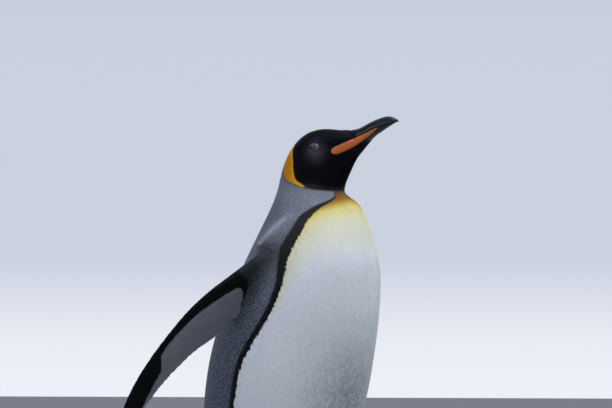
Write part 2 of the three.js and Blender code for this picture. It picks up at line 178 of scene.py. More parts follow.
# The ear patch lies along the hood's edge and narrows behind it
GOLD_OUTLINE = [
    (15.29, 58), (15.44, 70), (15.72, 78), *HOOD_EDGE[6:12], (18.4, 154), (17.7, 151.5), (17.15, 147),
    (16.57, 134), (16.11, 121), (15.78, 102), (15.58, 88), (15.38, 74), (15.27, 64),
]

# What changes from the tail up to the head, as (station, value)
COAT_DEPTH = [(-1, 1.3), (0, 1.6), (12.5, 1.6), (15, 1.3), (18, 1.0), (22, 0.8), (24, 0.5)]
BAND_WIDTH = [  # the dark band between the white and the grey
    (0, 6), (3, 8), (6, 9), (9, 10), (10.2, 12), (11.3, 17), (12.4, 17), (13.2, 14), (13.8, 8),
    (14.2, 4), (14.6, 2), (15, 1.2),
]
SILVER = [(0, 0.04), (9, 0.06), (11, 0.1), (12, 0.26), (12.8, 0.55), (13.6, 0.85), (14.6, 1)]
CREST_LINE = [(10.9, 112), (11.8, 108), (12.5, 100), (13.2, 88)]  # degrees from the front line
# Painted highlight along the shoulder's crest, where it faces the light above: its strength by station
CREST_HIGHLIGHT = [(10.9, 0), (11.7, 1), (12.6, 1), (13.4, 0)]
BEHIND_CREST = [(11.9, 0), (12.5, 1), (13.4, 0.9), (14, 0.4), (15, 0)]
NAPE_SHADOW = [(13.6, 0), (15, 0.35), (16.4, 0.9)]
# Painted shade over the lower front of the belly, whose feathers also vary more there as if damp
BELLY_SHADE_AND_DAMP = [(0, 0.1), (3, 0.5), (7, 1.1), (7.7, 0.75), (8.5, 0.25), (9.3, 0)]
THROAT_TOP = 15.1  # station of the hood's edge on the front line

ARMPIT = ((-6, 146, 577), (20, 123, 598))  # ends of the fold that the shadow under a flipper follows
ARMPIT_REACH = 23
CHEEK_SHEEN = (55, 35, 763)
CHEEK_REACH = 15

# The dark leading band on the underside of a flipper: (share of the span, share of the chord)
BLADE_BAND = [(0, 0.38), (0.12, 0.28), (0.3, 0.17), (0.5, 0.14), (0.56, 0.18), (0.61, 0.58),
              (0.7, 0.73), (0.8, 0.9), (0.88, 1.08), (1, 1.2)]
PANEL_START = 0.09  # share of the span where the panel under the flipper, painted grey as shade, begins
# How far the small feathers reach along the bill, as (angle from its lower edge, station)
CHIN_REACH = [(0, 2.3), (50, 2.1), (85, 1.5), (115, 1.9), (150, 1.4), (180, 1.1)]


def smooth_rows(rows):
    """A smooth curve through rows of numbers, read at fractional rows."""
    table = np.array(rows, float)
    padded = np.vstack([2 * table[0] - table[1], table, 2 * table[-1] - table[-2]])

    def at(t):
        t = np.asarray(t, float)
        i = np.clip(np.floor(t).astype(int), 0, len(table) - 2)
        w = (t - i)[..., None]
        p0, p1, p2, p3 = (padded[i + k] for k in range(4))
        m1, m2 = (p2 - p0) / 2, (p3 - p1) / 2
        return (((2 * (p1 - p2) + m1 + m2) * w + 3 * (p2 - p1) - 2 * m1 - m2) * w + m1) * w + p1

    return at


def graded(pairs, place):
    """The value at a place, evenly between (place, value) pairs."""
    places, values = np.array(pairs, float).T
    return np.interp(place, places, values)


section_at = smooth_rows(SECTIONS)
blade_at = smooth_rows(FLIPPER)
leg_at = smooth_rows(LEG)
bill_at = smooth_rows(BILL)
mouth_at = smooth_rows(MOUTH)


def in_frame(points):
    """Millimetres of the bird's own axes as metres of the packed frame."""
    low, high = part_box("eye_right")
    shift = (low.x + high.x) / 2 - EYE["x"] * MM
    return np.asarray(points, float) * MM + np.array([shift, 0, 0])


def signed_power(value, power):
    """A power that keeps the value's sign."""
    return np.sign(value) * np.abs(value) ** power


def shoulder_axes(x, z):
    """Distances along and across the shoulder ridge."""
    rise = math.radians(SHOULDER["rise"])
    dx, dz = x - SHOULDER["x"], z - SHOULDER["z"]
    return dx * math.cos(rise) + dz * math.sin(rise), dz * math.cos(rise) - dx * math.sin(rise)


def body_points(station, angle, depth=None):
    """Points of the body's skin. Below station 0 the rump closes the body's end."""
    station, angle = np.broadcast_arrays(np.asarray(station, float), angle)
    inset = graded(COAT_DEPTH, station) if depth is None else depth
    beyond = np.maximum(-station, 0)
    row = section_at(np.maximum(station, 0))
    back_x, back_z, front_x, front_z, half, widest, rounding = np.moveaxis(row, -1, 0)
    height = np.hypot(front_x - back_x, front_z - back_z)
    across_x, across_z = (front_x - back_x) / height, (front_z - back_z) / height
    in_front = np.cos(angle) > 0
    power = np.where(in_front, 2 / rounding, 1)
    up, side = signed_power(np.cos(angle), power), signed_power(np.sin(angle), power)
    inset = inset + RUMP["rounding"] * beyond**1.7
    reach = (height * np.where(in_front, widest, 1 - widest) - inset) * up
    back = RUMP["length"] * beyond
    x = front_x - height * widest * across_x + reach * across_x + back * across_z
    z = front_z - height * widest * across_z + reach * across_z - back * across_x
    along, across = shoulder_axes(x, z)
    ridge = SHOULDER["height"] * np.exp(
        -((along / SHOULDER["along"]) ** 2) - (across / SHOULDER["across"]) ** 2
    )
    y = (half - inset) * side + side * np.abs(side) * ridge
    return np.stack([x, y + side * face_relief(x, z), z], -1)


def face_relief(x, z):
    """The brow over the eye, the hollow in front of it and the cheek below, on the head's sides."""
    dx, dz = x - EYE["x"], z - EYE["z"]
    return sum(
        height * np.exp(-(((dx - along) / reach_x) ** 2) - ((dz - up) / reach_z) ** 2)
        for along, up, reach_x, reach_z, height in FACE_RELIEF
    )


def blade_points(side, station, angle, depth=1.0):
    """Points of a flipper's skin. The underside has a positive sine, and the right side is -1."""
    station, angle = np.broadcast_arrays(np.asarray(station, float), angle)
    reach, lead, trail, thickness, bow = np.moveaxis(blade_at(station), -1, 0)
    mirror = np.array([1, -1, 1])
    root, span, chord = (np.array(v) * mirror for v in (FLIPPER_ROOT, FLIPPER_SPAN, FLIPPER_CHORD))
    under = np.cross(span, chord)
    under = under / np.linalg.norm(under)
    share = (1 - np.cos(angle)) / 2
    lead, trail = lead + depth, trail - depth * 0.7
    half = np.maximum(thickness / 2 * (1 - 0.72 * share) * 1.25 - depth * 0.8, 0.35)
    across = lead + (trail - lead) * share
    points = (
        root
        + reach[..., None] * span
        + across[..., None] * chord
        + (bow + half * np.sin(angle))[..., None] * under
    )
    return points * np.array([1, -side, 1])


def leg_points(side, station, angle, depth=1.6):
    """Points of a thigh's skin. Angle 0 is its front."""
    station, angle = np.broadcast_arrays(np.asarray(station, float), angle)
    z, x, y, half_length, half_width = np.moveaxis(leg_at(station), -1, 0)
    outwards = y + (half_width - depth) * np.sin(angle)
    return np.stack([x + (half_length - depth) * np.cos(angle), side * outwards, z], -1)


def full_turn(count):
    """Angles evenly round a circle."""
    return np.linspace(0, 2 * math.pi, count, endpoint=False)


def scaled(shade, factor):
    """A plain colour made lighter or darker."""
    return [part * factor for part in shade]


class Form:
    """A lofted surface with two coordinates: a station along it and an angle round it."""

    def __init__(self, name, points, ends, lie):
        self.name, self.points, self.ends, self.lie = name, points, ends, lie
        self.turn = 1
        angles = full_turn(64)
        ring, normals = self.frames(np.full(64, sum(ends) / 2), angles)[:2]
        outwards = (normals * (ring - ring.mean(0))).sum()
        self.turn = 1 if outwards > 0 else -1

    def frames(self, station, angle, step=1e-3):
        """Points, outward normals, directions of the lie, and millimetres per station and radian."""
        point = self.points(station, angle)
        along = self.points(station + step, angle) - self.points(station - step, angle)
        round_it = self.points(station, angle + step) - self.points(station, angle - step)
        normal = self.turn * np.cross(along, round_it)
        normal /= np.linalg.norm(normal, axis=-1, keepdims=True) + 1e-12
        speed = np.linalg.norm(along, axis=-1)
        lie = self.lie * along / (speed[..., None] + 1e-12)
        return point, normal, lie, speed / step / 2, np.linalg.norm(round_it, axis=-1) / step / 2


def bill_points(station, angle):
    """Points of the bill's outer surface. Angle 0 is its lower edge, as on the head."""
    station, angle = np.broadcast_arrays(np.asarray(station, float), angle)
    row = bill_at(station)
    top, bottom, wide = row[..., :2], row[..., 2:4], row[..., 4]
    xz = (top + bottom) / 2 - (top - bottom) / 2 * np.cos(angle)[..., None]
    return np.stack([xz[..., 0], wide * np.sin(angle), xz[..., 1]], -1)


SIDES = {"right": -1, "left": 1}  # the sign of Y on each side
BODY = Form("body", body_points, (-1, BODY_END), lie=-1)
BLADES = [Form("blade", partial(blade_points, side), (0, len(FLIPPER) - 1), 1) for side in SIDES.values()]
LEGS = [Form("leg", partial(leg_points, side), (0, len(LEG) - 1), -1) for side in SIDES.values()]
BILL_BASE = Form("bill", bill_points, (0, len(BILL) - 1), lie=-1)
FORMS = [BODY, *BLADES, *LEGS]
FORM_NAMES = ["body", "flipper_right", "flipper_left", "leg_right", "leg_left"]

# ---------- settings ----------


def linear(hex_colour):
    """A colour written as #rrggbb, as the numbers that shaders use."""
    parts = [int(hex_colour[i : i + 2], 16) / 255 for i in (1, 3, 5)]
    return tuple(c / 12.92 if c <= 0.04045 else ((c + 0.055) / 1.055) ** 2.4 for c in parts)


def colour(name, description, hex_colour):
    """A colour setting."""
    return FloatVectorProperty(
        name=name, description=description, default=linear(hex_colour),
        size=3, min=0, max=1, subtype="COLOR",
    )


def feathers(where, long, wide, apart):
    """Size of the feathers of one part of the body: length, width and distance between roots."""
    return FloatVectorProperty(
        name=f"{where} feathers", description="Length, width and distance between roots",
        default=(long * MM, wide * MM, apart * MM), size=3, min=0.0002, unit="LENGTH", precision=5,
    )


class PenguinPlumage(bpy.types.PropertyGroup):
    """Sizes and colours of the plumage"""

    back: feathers("Back", 13, 4.6, 2.5)
    belly: feathers("Breast and belly", 11, 3.7, 2.0)
    neck: feathers("Neck", 8, 3.2, 1.9)
    head: feathers("Head", 5.2, 2.3, 1.45)
    face: feathers("Face", 3.2, 1.6, 1.15)
    bill: feathers("Chin and lores", 2.3, 1.25, 0.9)
    blade: feathers("Flipper", 5.0, 2.6, 1.75)
    leg: feathers("Leg", 8, 3.0, 2.0)
    seed: IntProperty(name="Seed", description="Changes how the feathers are scattered", default=7)
    white: colour("White", "Breast and belly", "#e2e9f0")
    slate: colour("Slate", "Bases of the back's feathers", "#343a46")
    slate_tip: colour("Slate tips", "Tips of the back's feathers", "#6d7686")
    nape: colour("Nape grey", "Neck's sides and back", "#5f646f")
    band: colour("Band", "Dark band between the white and the grey", "#060709")
    hood: colour("Hood", "Head and face", "#0e0e12")
    cheek: colour("Cheek", "Soft sheen on the cheek below the eye", "#3f3f4c")
    gold: colour("Gold", "Ear patch beside the hood", "#f6c326")
    gold_deep: colour("Deep gold", "Rear of the ear patch", "#cf8a1a")
    throat: colour("Throat orange", "Just below the hood", "#c8861a")
    breast: colour("Breast yellow", "Upper breast", "#f1df80")
    # The white panel under each flipper, painted mid grey as shade
    shaded_under_blade: colour("Flipper panel shade", "Panel under the flipper", "#7d808a")
    rachis: colour("Quill", "Tail feathers", "#1d1f26")


class PenguinBareParts(bpy.types.PropertyGroup):
    """Colours of the bill, the eyes and the feet"""

    horn: colour("Horn", "Bill and claws", "#0e1016")
    # Painted highlight colour for the lines along the bill's culmen and groove and the claws' tops
    horn_pale: colour("Horn highlight", "Ridge of the bill", "#3c4250")
    plate: colour("Plate", "Coloured plate of the lower mandible", "#b05c2c")
    plate_deep: colour("Plate streaks", "Darker streaks and edges of the plate", "#7e3514")
    iris: colour("Iris", "Outer iris", "#46383a")
    # Painted reflection of the sky on the upper lid; the other lids are this colour darkened almost to black
    lid_sheen: colour("Eyelid", "Bare skin round the eye", "#8a8ea0")
    foot: colour("Foot", "Skin of the feet", "#24262b")
    foot_scute: colour("Scutes", "Raised scales of the feet", "#4a4e56")
    voxel: FloatProperty(
        name="Foot detail", description="Grain of the feet's mesh", default=0.0009, min=0.0004,
        unit="LENGTH", precision=5,
    )


class PenguinStage(bpy.types.PropertyGroup):
    """Camera and light"""

    lens: FloatProperty(name="Lens", description="Focal length in millimetres", default=198.5, min=20)
    floor: colour("Floor", "Plain pale floor", "#a4a6a9")
    sky_high: colour("Light above", "Top of the background", "#c9d0de")
    sky_low: colour("Light below", "Background near the floor", "#edf0f9")
    sky_strength: FloatProperty(name="Sky", description="Strength of the soft light", default=1.0, min=0)


SETTINGS = {
    "penguin_plumage": PenguinPlumage,
    "penguin_bare_parts": PenguinBareParts,
    "penguin_stage": PenguinStage,
}


def settings(name):
    """One group of the bird's settings in this scene."""
    return getattr(bpy.context.scene, f"penguin_{name}")


# ---------- finishes ----------


class Wire:
    """A socket's output in a finish. Python's operators add Math nodes."""

    def __init__(self, nodes, socket):
        self.nodes, self.socket = nodes, socket

    def math(self, operation, *values, clamp=False):
        options = {"operation": operation, "use_clamp": clamp}
        return self.nodes.node("ShaderNodeMath", options, dict(enumerate(values)))

    def __add__(self, other):
        return self.math("ADD", self, other)

    def __sub__(self, other):
        return self.math("SUBTRACT", self, other)

    def __rsub__(self, other):
        return self.math("SUBTRACT", other, self)

    def __mul__(self, other):
        return self.math("MULTIPLY", self, other)

    __radd__ = __add__
    __rmul__ = __mul__

    def over(self, edge, softness):
        """0 below the edge and 1 above it, with a soft step between."""
        return self.math("DIVIDE", self - (edge - softness / 2), softness, clamp=True)

    def clipped(self):
        return self.math("ADD", self, 0.0, clamp=True)

    def sine(self):
        return self.math("SINE", self)

    def size(self):
        return self.math("ABSOLUTE", self)


class Nodes:
    """The nodes of one material or of the surroundings."""

    def __init__(self, owner):
        owner.use_nodes = True
        self.tree = owner.node_tree

    def node(self, kind, options=None, values=None, output=0):
        """Adds a node with its own settings and the values or wires of its sockets."""
        made = self.tree.nodes.new(kind)
        for name, value in (options or {}).items():
            if name == "stops":
                self.set_stops(made.color_ramp.elements, value)
            else:
                setattr(made, name, value)
        for name, value in (values or {}).items():
            self.fill(made.inputs[name], value)
        return Wire(self, made.outputs[output])

    def set_stops(self, ramp, stops):
        for number, (place, shade) in enumerate(stops):
            stop = ramp[number] if number < 2 else ramp.new(place)
            stop.position, stop.color = place, (*np.clip(shade, 0, 1), 1)

    def fill(self, socket, value):
        if isinstance(value, Wire):
            self.tree.links.new(value.socket, socket)
        elif socket.type == "RGBA":
            socket.default_value = (*tuple(value)[:3], 1)
        else:
            socket.default_value = value

    def ramp(self, wire, stops):
        return self.node("ShaderNodeValToRGB", {"stops": stops}, {0: wire})


class Finish(Nodes):
    """One material: a Principled shader, its fixed values and the nodes that feed it."""

    def __init__(self, name, fixed):
        self.material = bpy.data.materials.new(name)
        super().__init__(self.material)
        self.shader = self.tree.nodes["Principled BSDF"]
        for socket, value in fixed.items():
            self.feed(socket, value)

    def feed(self, socket, value):
        self.fill(self.shader.inputs[socket], value)

    def mark(self, name):
        """A number kept on the mesh."""
        return self.node("ShaderNodeAttribute", {"attribute_name": name}, output=2)

    def marks(self, *names):
        return (self.mark(name) for name in names)

    def blend(self, first, second, share):
        return self.node("ShaderNodeMix", {"data_type": "RGBA"}, {0: share, 6: first, 7: second}, 2)

    def shade(self, first, factor):
        """A colour made lighter or darker."""
        return self.node("ShaderNodeVectorMath", {"operation": "SCALE"}, {0: first, 3: factor})

    def cloud(self, scale, detail=3.0, stretch=(1, 1, 1)):
        """Soft noise, the same wherever the bird is moved."""
        spot = self.node("ShaderNodeTexCoord", output=3)
        spot = self.node("ShaderNodeMapping", None, {"Vector": spot, "Scale": stretch})
        return self.node("ShaderNodeTexNoise", None, {"Vector": spot, "Scale": scale, "Detail": detail})

    def relief(self, height, strength, distance):
        values = {"Height": height, "Strength": strength, "Distance": distance}
        self.feed("Normal", self.node("ShaderNodeBump", None, values))


BREAST_LENGTH = 180  # mm below the hood over which the yellow fades out


def breast_stops(look):
    """Shades down the breast: dark at the hood, orange, yellow, then white."""
    throat, breast, pure = (np.array(shade) for shade in (look.throat, look.breast, look.white))
    return [
        (0.0, throat * 0.14),
        (0.04, throat * 0.28),
        (0.087, throat * 0.42),
        (0.127, throat * 0.38 + breast * [0.12, 0.1, 0.0]),
        (0.173, breast * [0.56, 0.53, 0.27]),
        (0.227, breast * [0.75, 0.78, 0.76]),
        (0.333, breast * [0.54, 0.57, 0.5] + pure * [0.3, 0.3, 0.31]),
        (0.5, breast * [0.25, 0.25, 0.1] + pure * [0.66, 0.66, 0.64]),
        (0.57, breast * [0.17, 0.17, 0.05] + pure * [0.76, 0.74, 0.66]),
        (0.82, pure * [0.98, 0.95, 0.87]),
        (1.0, pure),
    ]


def back_shade(finish, look, patchy, fine):
    """Slate feathers with pale tips that turn into the silver of the nape, with painted highlight and shade.
    """
    vane, across, seed, grey = finish.marks("vane", "across", "seed", "grey")
    tip = vane.over(0.86, 0.2) * (1 - (across.size() * 1.15).over(1.0, 0.4) * 0.6)
    tip = tip * (0.5 + seed * 0.7) * (0.6 + patchy * 0.8)
    slate = finish.blend(look.slate, look.slate_tip, tip)
    silver = finish.shade(look.nape, 0.52 + fine * 0.3 + seed * 0.4 + patchy * 0.3)
    # Above 1, grey brightens the plumage as a painted highlight along the shoulder's crest
    plain = finish.shade(finish.blend(slate, silver, grey), 1.48 + (grey - 1).clipped() * 0.65)
    # The shadow mark darkens the plain plumage: painted shade in the flippers' folds, and the hood's
    # darkening down the nape and the flippers' dark root bands
    return finish.shade(plain, 1 - finish.mark("shadow") * 0.8)


def plumage_finish(name, roughness, sheen, gloss):
    """Markings, pale tips, quills and barbs, with painted shade and highlights, from the numbers kept on skin
    and feathers.
    """
    look = settings("plumage")
    finish = Finish(
        name,
        {
            "Sheen Weight": sheen, "Sheen Roughness": 0.45, "Specular IOR Level": gloss,
            "Subsurface Weight": 0.35, "Subsurface Radius": (1, 0.95, 0.9), "Subsurface Scale": 0.002,
        },
    )
    vane, across, seed, shadow = finish.marks("vane", "across", "seed", "shadow")
    hood_edge, gold_edge, throat = finish.marks("hood_edge", "gold_edge", "throat")
    patchy, fine = finish.cloud(55), finish.cloud(900, 2)

    white = finish.ramp(throat * (1 / BREAST_LENGTH) + (patchy - 0.5) * 0.035, breast_stops(look))
    # Painted shade from the shadow mark, mostly over the lower belly, where the feathers also vary more as if
    # damp
    white = finish.shade(white, 1 - shadow * (0.56 - seed * 0.32))
    white = finish.shade(white, 0.89 + fine * 0.05 + seed * 0.08 + finish.cloud(24, 4, (1, 1, 0.5)) * 0.1)
    by_hood = (hood_edge * 0.16 + 1 + (fine - 0.5) * 0.8).over(0.5, 1.0)
    # In the hood the shadow mark blends towards the cheek's painted sheen
    hood = finish.blend(look.hood, look.cheek, shadow)
    band = finish.shade(look.band, 0.7 + seed * 0.6)
    # The panel under the flipper: its white painted grey as shade
    panel = finish.shade(look.shaded_under_blade, 0.78 + patchy * 0.3 + seed * 0.12)
    olive = [part * share for part, share in zip(look.gold_deep, (0.13, 0.17, 0.3))]
    near_throat = (throat * (1 / 40)).over(1.0, 0.6)
    layers = (
        (band, finish.mark("band_edge").over(-1.0, 4.2)),
        (panel, finish.mark("panel_edge").over(0, 1.5)),
        (white, finish.mark("white_edge").over(0, 1.0)),
        (band, gold_edge.over(-1.2, 0.8) * 0.85),
        (finish.blend(look.gold_deep, look.gold, by_hood), gold_edge.over(0, 0.7)),
        (olive, hood_edge.over(-1.6, 1.6) * (1 - near_throat) * 0.75),
        (finish.shade(hood, 0.75 + fine * 0.3 + seed * 0.3), hood_edge.over(0.2, 1.2)),
    )
    result = back_shade(finish, look, patchy, fine)
    for shade, share in layers:
        result = finish.blend(result, shade, share)

    quill = 1 - across.size().over(0.09, 0.1)
    finish.feed("Base Color", finish.shade(result, 1 - quill * 0.07))
    finish.feed("Roughness", roughness + seed * 0.08 + fine * 0.08)
    barbs = (vane * 60 - across.size() * 9).sine() * 0.5 + quill * 0.8
    finish.relief(barbs + fine * 0.6, 0.16, 0.0002)
    return finish.material


def horn_finish():
    """Dark, finely streaked horn, with a painted highlight where the ridge mark is set."""
    look = settings("bare_parts")
    finish = Finish("horn_keratin", {"Specular IOR Level": 0.25, "Coat Roughness": 0.2, "Coat Weight": 0.15})
    streaks, fine = finish.cloud(160, 4, (0.3, 1, 1.6)), finish.cloud(1400)
    # Painted highlights where the ridge mark is set
    ridge = (finish.mark("ridge") * (0.5 + streaks)).over(0.6, 0.8)
    finish.feed("Base Color", finish.shade(finish.blend(look.horn, look.horn_pale, ridge), 0.85 + fine * 0.3))
    finish.feed("Roughness", 0.26 + streaks * 0.16 + fine * 0.06)
    finish.relief(streaks * 0.7 + fine * 0.4, 0.15, 0.0003)
    return finish.material


def plate_finish():
    """The bill plate's waxy colour, with darker streaks and rim."""
    look = settings("bare_parts")
    finish = Finish("plate_lacquer", {"Coat Weight": 0.12, "Coat Roughness": 0.25, "Specular IOR Level": 0.3})
    streaks, fine = finish.cloud(260, 4, (0.35, 1, 1.5)), finish.cloud(1500, 2)
    base = finish.blend(look.plate, look.plate_deep, streaks.over(0.62, 0.35) * 0.7)
    base = finish.blend(base, look.plate_deep, finish.mark("rim").over(0.62, 0.5) * 0.9)
    finish.feed("Base Color", finish.shade(base, 0.9 + fine * 0.2))
    finish.feed("Roughness", 0.38 + streaks * 0.15)
    finish.relief(streaks + fine * 0.3, 0.2, 0.0003)
    return finish.material


def eye_finish():
    """Pupil, iris with its fibres and dark rim, and the ball beyond it."""
    iris = settings("bare_parts").iris
    finish = Finish("eye_gloss", {"Coat Weight": 0.5, "Coat Roughness": 0.16, "Roughness": 0.4})
    fibres = finish.node(
        "ShaderNodeTexNoise", {"noise_dimensions": "1D"},
        {"W": finish.mark("iris_turn") * 14, "Scale": 3.0, "Detail": 4.0},
    )
    radius = finish.mark("iris_radius")
    base = finish.shade(iris, 0.55 + fibres * 0.9)
    base = finish.blend(base, scaled(iris, 0.4), radius.over(7.2, 1.6))
    base = finish.blend(PUPIL, base, radius.over(2.2, 0.5))
    base = finish.blend(base, scaled(iris, 0.12), radius.over(8.6, 0.6))
    finish.feed("Base Color", base)
    return finish.material


def lid_finish():
    """Bare creased skin, near black, with a painted sheen on the upper lid."""
    lid_sheen = settings("bare_parts").lid_sheen
    finish = Finish("eyelid_skin", {"Specular IOR Level": 0.1})
    creases, fine = finish.cloud(900, 4, (0.5, 1, 1.8)), finish.cloud(2500, 2)
    base = finish.blend(scaled(lid_sheen, 0.03), lid_sheen, finish.mark("upper"))
    finish.feed("Base Color", finish.shade(base, 0.75 + creases * 0.5))
    finish.feed("Roughness", 0.42 + fine * 0.2)
    finish.relief(creases + fine * 0.4, 0.4, 0.0002)
    return finish.material


def foot_finish():
    """Dark leathery skin with paler scutes."""
    look = settings("bare_parts")
    finish = Finish("foot_leather", {"Specular IOR Level": 0.45})
    scute, fine = finish.mark("scute"), finish.cloud(1200, 4)
    base = finish.blend(look.foot, look.foot_scute, scute * (0.3 + finish.cloud(90, 2) * 0.8))
    finish.feed("Base Color", finish.shade(base, 0.75 + fine * 0.5))
    finish.feed("Roughness", 0.5 + fine * 0.25)
    finish.relief(fine * 0.5 + scute, 0.35, 0.0003)
    return finish.material


def quill_finish():
    """Stiff dark tail feathers with worn pale tips and a shaft."""
    look = settings("plumage")
    finish = Finish("tail_quills", {"Sheen Weight": 0.15, "Specular IOR Level": 0.35})
    vane, across, seed = finish.marks("vane", "across", "seed")
    worn = finish.cloud(300, 4)
    base = finish.blend(look.rachis, look.slate_tip, (vane + worn * 0.5).over(1.25, 0.6) * 0.5)
    base = finish.shade(base, 0.7 + seed * 0.6)
    shaft = 1 - across.size().over(0.08, 0.08)
    finish.feed("Base Color", finish.blend(base, look.slate_tip, shaft * 0.35))
    finish.feed("Roughness", 0.5 + worn * 0.2)
    finish.relief((vane * 260 - across.size() * 40).sine() * 0.5 + worn, 0.3, 0.0002)
    return finish.material


FINISHES = {
    "plumage_trunk": partial(plumage_finish, "plumage_trunk", roughness=0.5, sheen=0.05, gloss=0.14),
    "plumage_hood": partial(plumage_finish, "plumage_hood", roughness=0.42, sheen=0.0, gloss=0.02),
    "plumage_blade": partial(plumage_finish, "plumage_blade", roughness=0.45, sheen=0.01, gloss=0.08),
    "horn_keratin": horn_finish,
    "plate_lacquer": plate_finish,
    "eye_gloss": eye_finish,
    "eyelid_skin": lid_finish,
    "foot_leather": foot_finish,
    "tail_quills": quill_finish,
}


def finish_named(name):
    """A finish is made once and shared by the pieces that have it."""
    return bpy.data.materials.get(name) or FINISHES[name]()


# ---------- meshes ----------


def new_object(name, data):
    """Adds an object to the scene."""
    made = bpy.data.objects.new(name, data)
    bpy.context.scene.collection.objects.link(made)
    return made


def new_piece(name, points, faces, finish, marks=None, smooth=True):
    """A mesh object from points in metres and faces, given as arrays of triangles or quads."""
    mesh = bpy.data.meshes.new(name)
    mesh.vertices.add(len(points))
    mesh.vertices.foreach_set("co", np.asarray(points, np.float32).ravel())
    corners = np.concatenate([np.asarray(group, np.int32).ravel() for group in faces])
    sizes = np.concatenate([np.full(len(group), group.shape[1], np.int32) for group in faces])
    mesh.loops.add(len(corners))
    mesh.loops.foreach_set("vertex_index", corners)
    mesh.polygons.add(len(sizes))
    mesh.polygons.foreach_set("loop_start", np.append(0, np.cumsum(sizes)[:-1]).astype(np.int32))
    mesh.polygons.foreach_set("use_smooth", np.full(len(sizes), smooth))
    mesh.update(calc_edges=True)
    set_marks(mesh, marks or {})
    if finish:
        mesh.materials.append(finish_named(finish))
    return new_object(name, mesh)


def read_all(items, name, width=3, kind=float):
    """One property of every item of a mesh, a row of numbers each."""
    values = np.empty(len(items) * width, kind)
    items.foreach_get(name, values)
    return values.reshape(-1, width) if width > 1 else values


def map_corners(mesh, uv):
    """Gives a mesh its map, with a place for every corner of every face."""
    layer = mesh.uv_layers.new(name="OFBake")
    layer.data.foreach_set("uv", uv.astype(np.float32).ravel())


def point_tree(points):
    """A search tree of points."""
    tree = KDTree(len(points))
    for number, point in enumerate(points):
        tree.insert(point, number)
    tree.balance()
    return tree


def set_marks(mesh, marks):
    """Keeps numbers on a mesh's points, for its finish to read."""
    for name, values in marks.items():
        kept = mesh.attributes.new(name, "FLOAT", "POINT")
        kept.data.foreach_set("value", np.asarray(values, np.float32).ravel())


def grid_faces(rows, columns, wrap=True):
    """Quads between rows of points. With wrap, a row closes on itself."""
    i, j = np.meshgrid(np.arange(rows - 1), np.arange(columns - (0 if wrap else 1)), indexing="ij")
    a, b = i * columns + j, i * columns + (j + 1) % columns
    return np.stack([a, b, b + columns, a + columns], -1).reshape(-1, 4)


def closed_loft(rings, turned=False):
    """Points and faces of rings with their two ends closed. rings is [ring, point, xyz]."""
    rows, columns = rings.shape[:2]
    points = np.concatenate([rings.reshape(-1, 3), rings[:1].mean(1), rings[-1:].mean(1)])
    first, last = rows * columns, rows * columns + 1
    j = np.arange(columns)
    k = (j + 1) % columns
    caps = np.concatenate([
        np.stack([np.full(columns, first), k, j], -1),
        np.stack([np.full(columns, last), j + (rows - 1) * columns, k + (rows - 1) * columns], -1),
    ])
    faces = [grid_faces(rows, columns), caps]
    return points, [group[:, ::-1] for group in faces] if turned else faces


def facing_out(points, faces):
    """The same faces, turned round if the solid's volume is negative."""
    volume = 0.0
    for group in faces:
        for k in range(1, group.shape[1] - 1):
            a, b, c = points[group[:, 0]], points[group[:, k]], points[group[:, k + 1]]
            volume += (a * np.cross(b, c)).sum()
    return faces if volume > 0 else [group[:, ::-1] for group in faces]


def solid_loft(rings):
    """A closed loft whose faces look outwards."""
    points, faces = closed_loft(rings)
    return points, facing_out(points, faces)


def loft_piece(name, finish, rings, marks):
    """A closed piece from rings in millimetres. Each mark has values for the rings and one for the ends."""
    points, faces = solid_loft(rings)
    kept = {}
    for mark, (values, end) in marks.items():
        kept[mark] = np.append(np.broadcast_to(values, rings.shape[:2]), [end, end])
    return new_piece(name, in_frame(points), faces, finish, kept)


def joined(solids):
    """Points and faces of several closed lofts as one."""
    points, groups, start = [], [], 0
    for own, faces in solids:
        points.append(own)
        groups.append([group + start for group in faces])
        start += len(own)
    return np.concatenate(points), [np.concatenate(kind) for kind in zip(*groups)]


def ride(piece, slot, *nodes):
    """Puts a finished piece on the bird, in place of the solids it stands for."""
    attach(piece, "root")
    if nodes:
        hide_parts(*nodes)


# ---------- markings ----------


def edge_line(edge):
    """Close points on the body's left side along an edge of the markings."""
    count = 30 * len(edge)
    station, degrees = smooth_rows(edge)(np.linspace(0, len(edge) - 1, count)).T
    return body_points(station, np.radians(degrees))


def edge_distance(edge, points, is_inside, batch=20000):
    """Distance to an edge of the markings, positive inside it."""
    line = edge_line(edge)
    parts = [points[start : start + batch, None] - line for start in range(0, len(points), batch)]
    distance = np.concatenate([np.sqrt((part**2).sum(-1).min(1)) for part in parts])
    return np.where(is_inside, 1, -1) * distance


def inside(outline, x, y):
    """Which points lie inside a closed outline of (x, y) corners."""
    result = np.zeros(len(x), bool)
    for (x0, y0), (x1, y1) in zip(outline, np.roll(outline, -1, axis=0)):
        crosses = (y0 > y) != (y1 > y)
        slope = (x1 - x0) / (y1 - y0 if y1 != y0 else 1)
        result ^= crosses & (x < x0 + (y - y0) * slope)
    return result


def bump(value, centre, reach):
    """1 at the centre, fading on both sides over the reach."""
    return np.exp(-(((value - centre) / reach) ** 2))


def below_hood(station, points, white):
    """Distance down the breast from the hood, longer where the white is broad."""
    stations = np.linspace(0, THROAT_TOP, 400)
    steps = np.linalg.norm(np.diff(section_at(stations)[:, 2:4], axis=0), axis=1)
    lengths = np.append(0, np.cumsum(steps))
    down = lengths[-1] - np.interp(station, stations, lengths)
    return np.hypot(down, 0.3 * points[:, 1]) * (1.56 - 0.94 * np.exp(-np.maximum(white, 0) / 34))


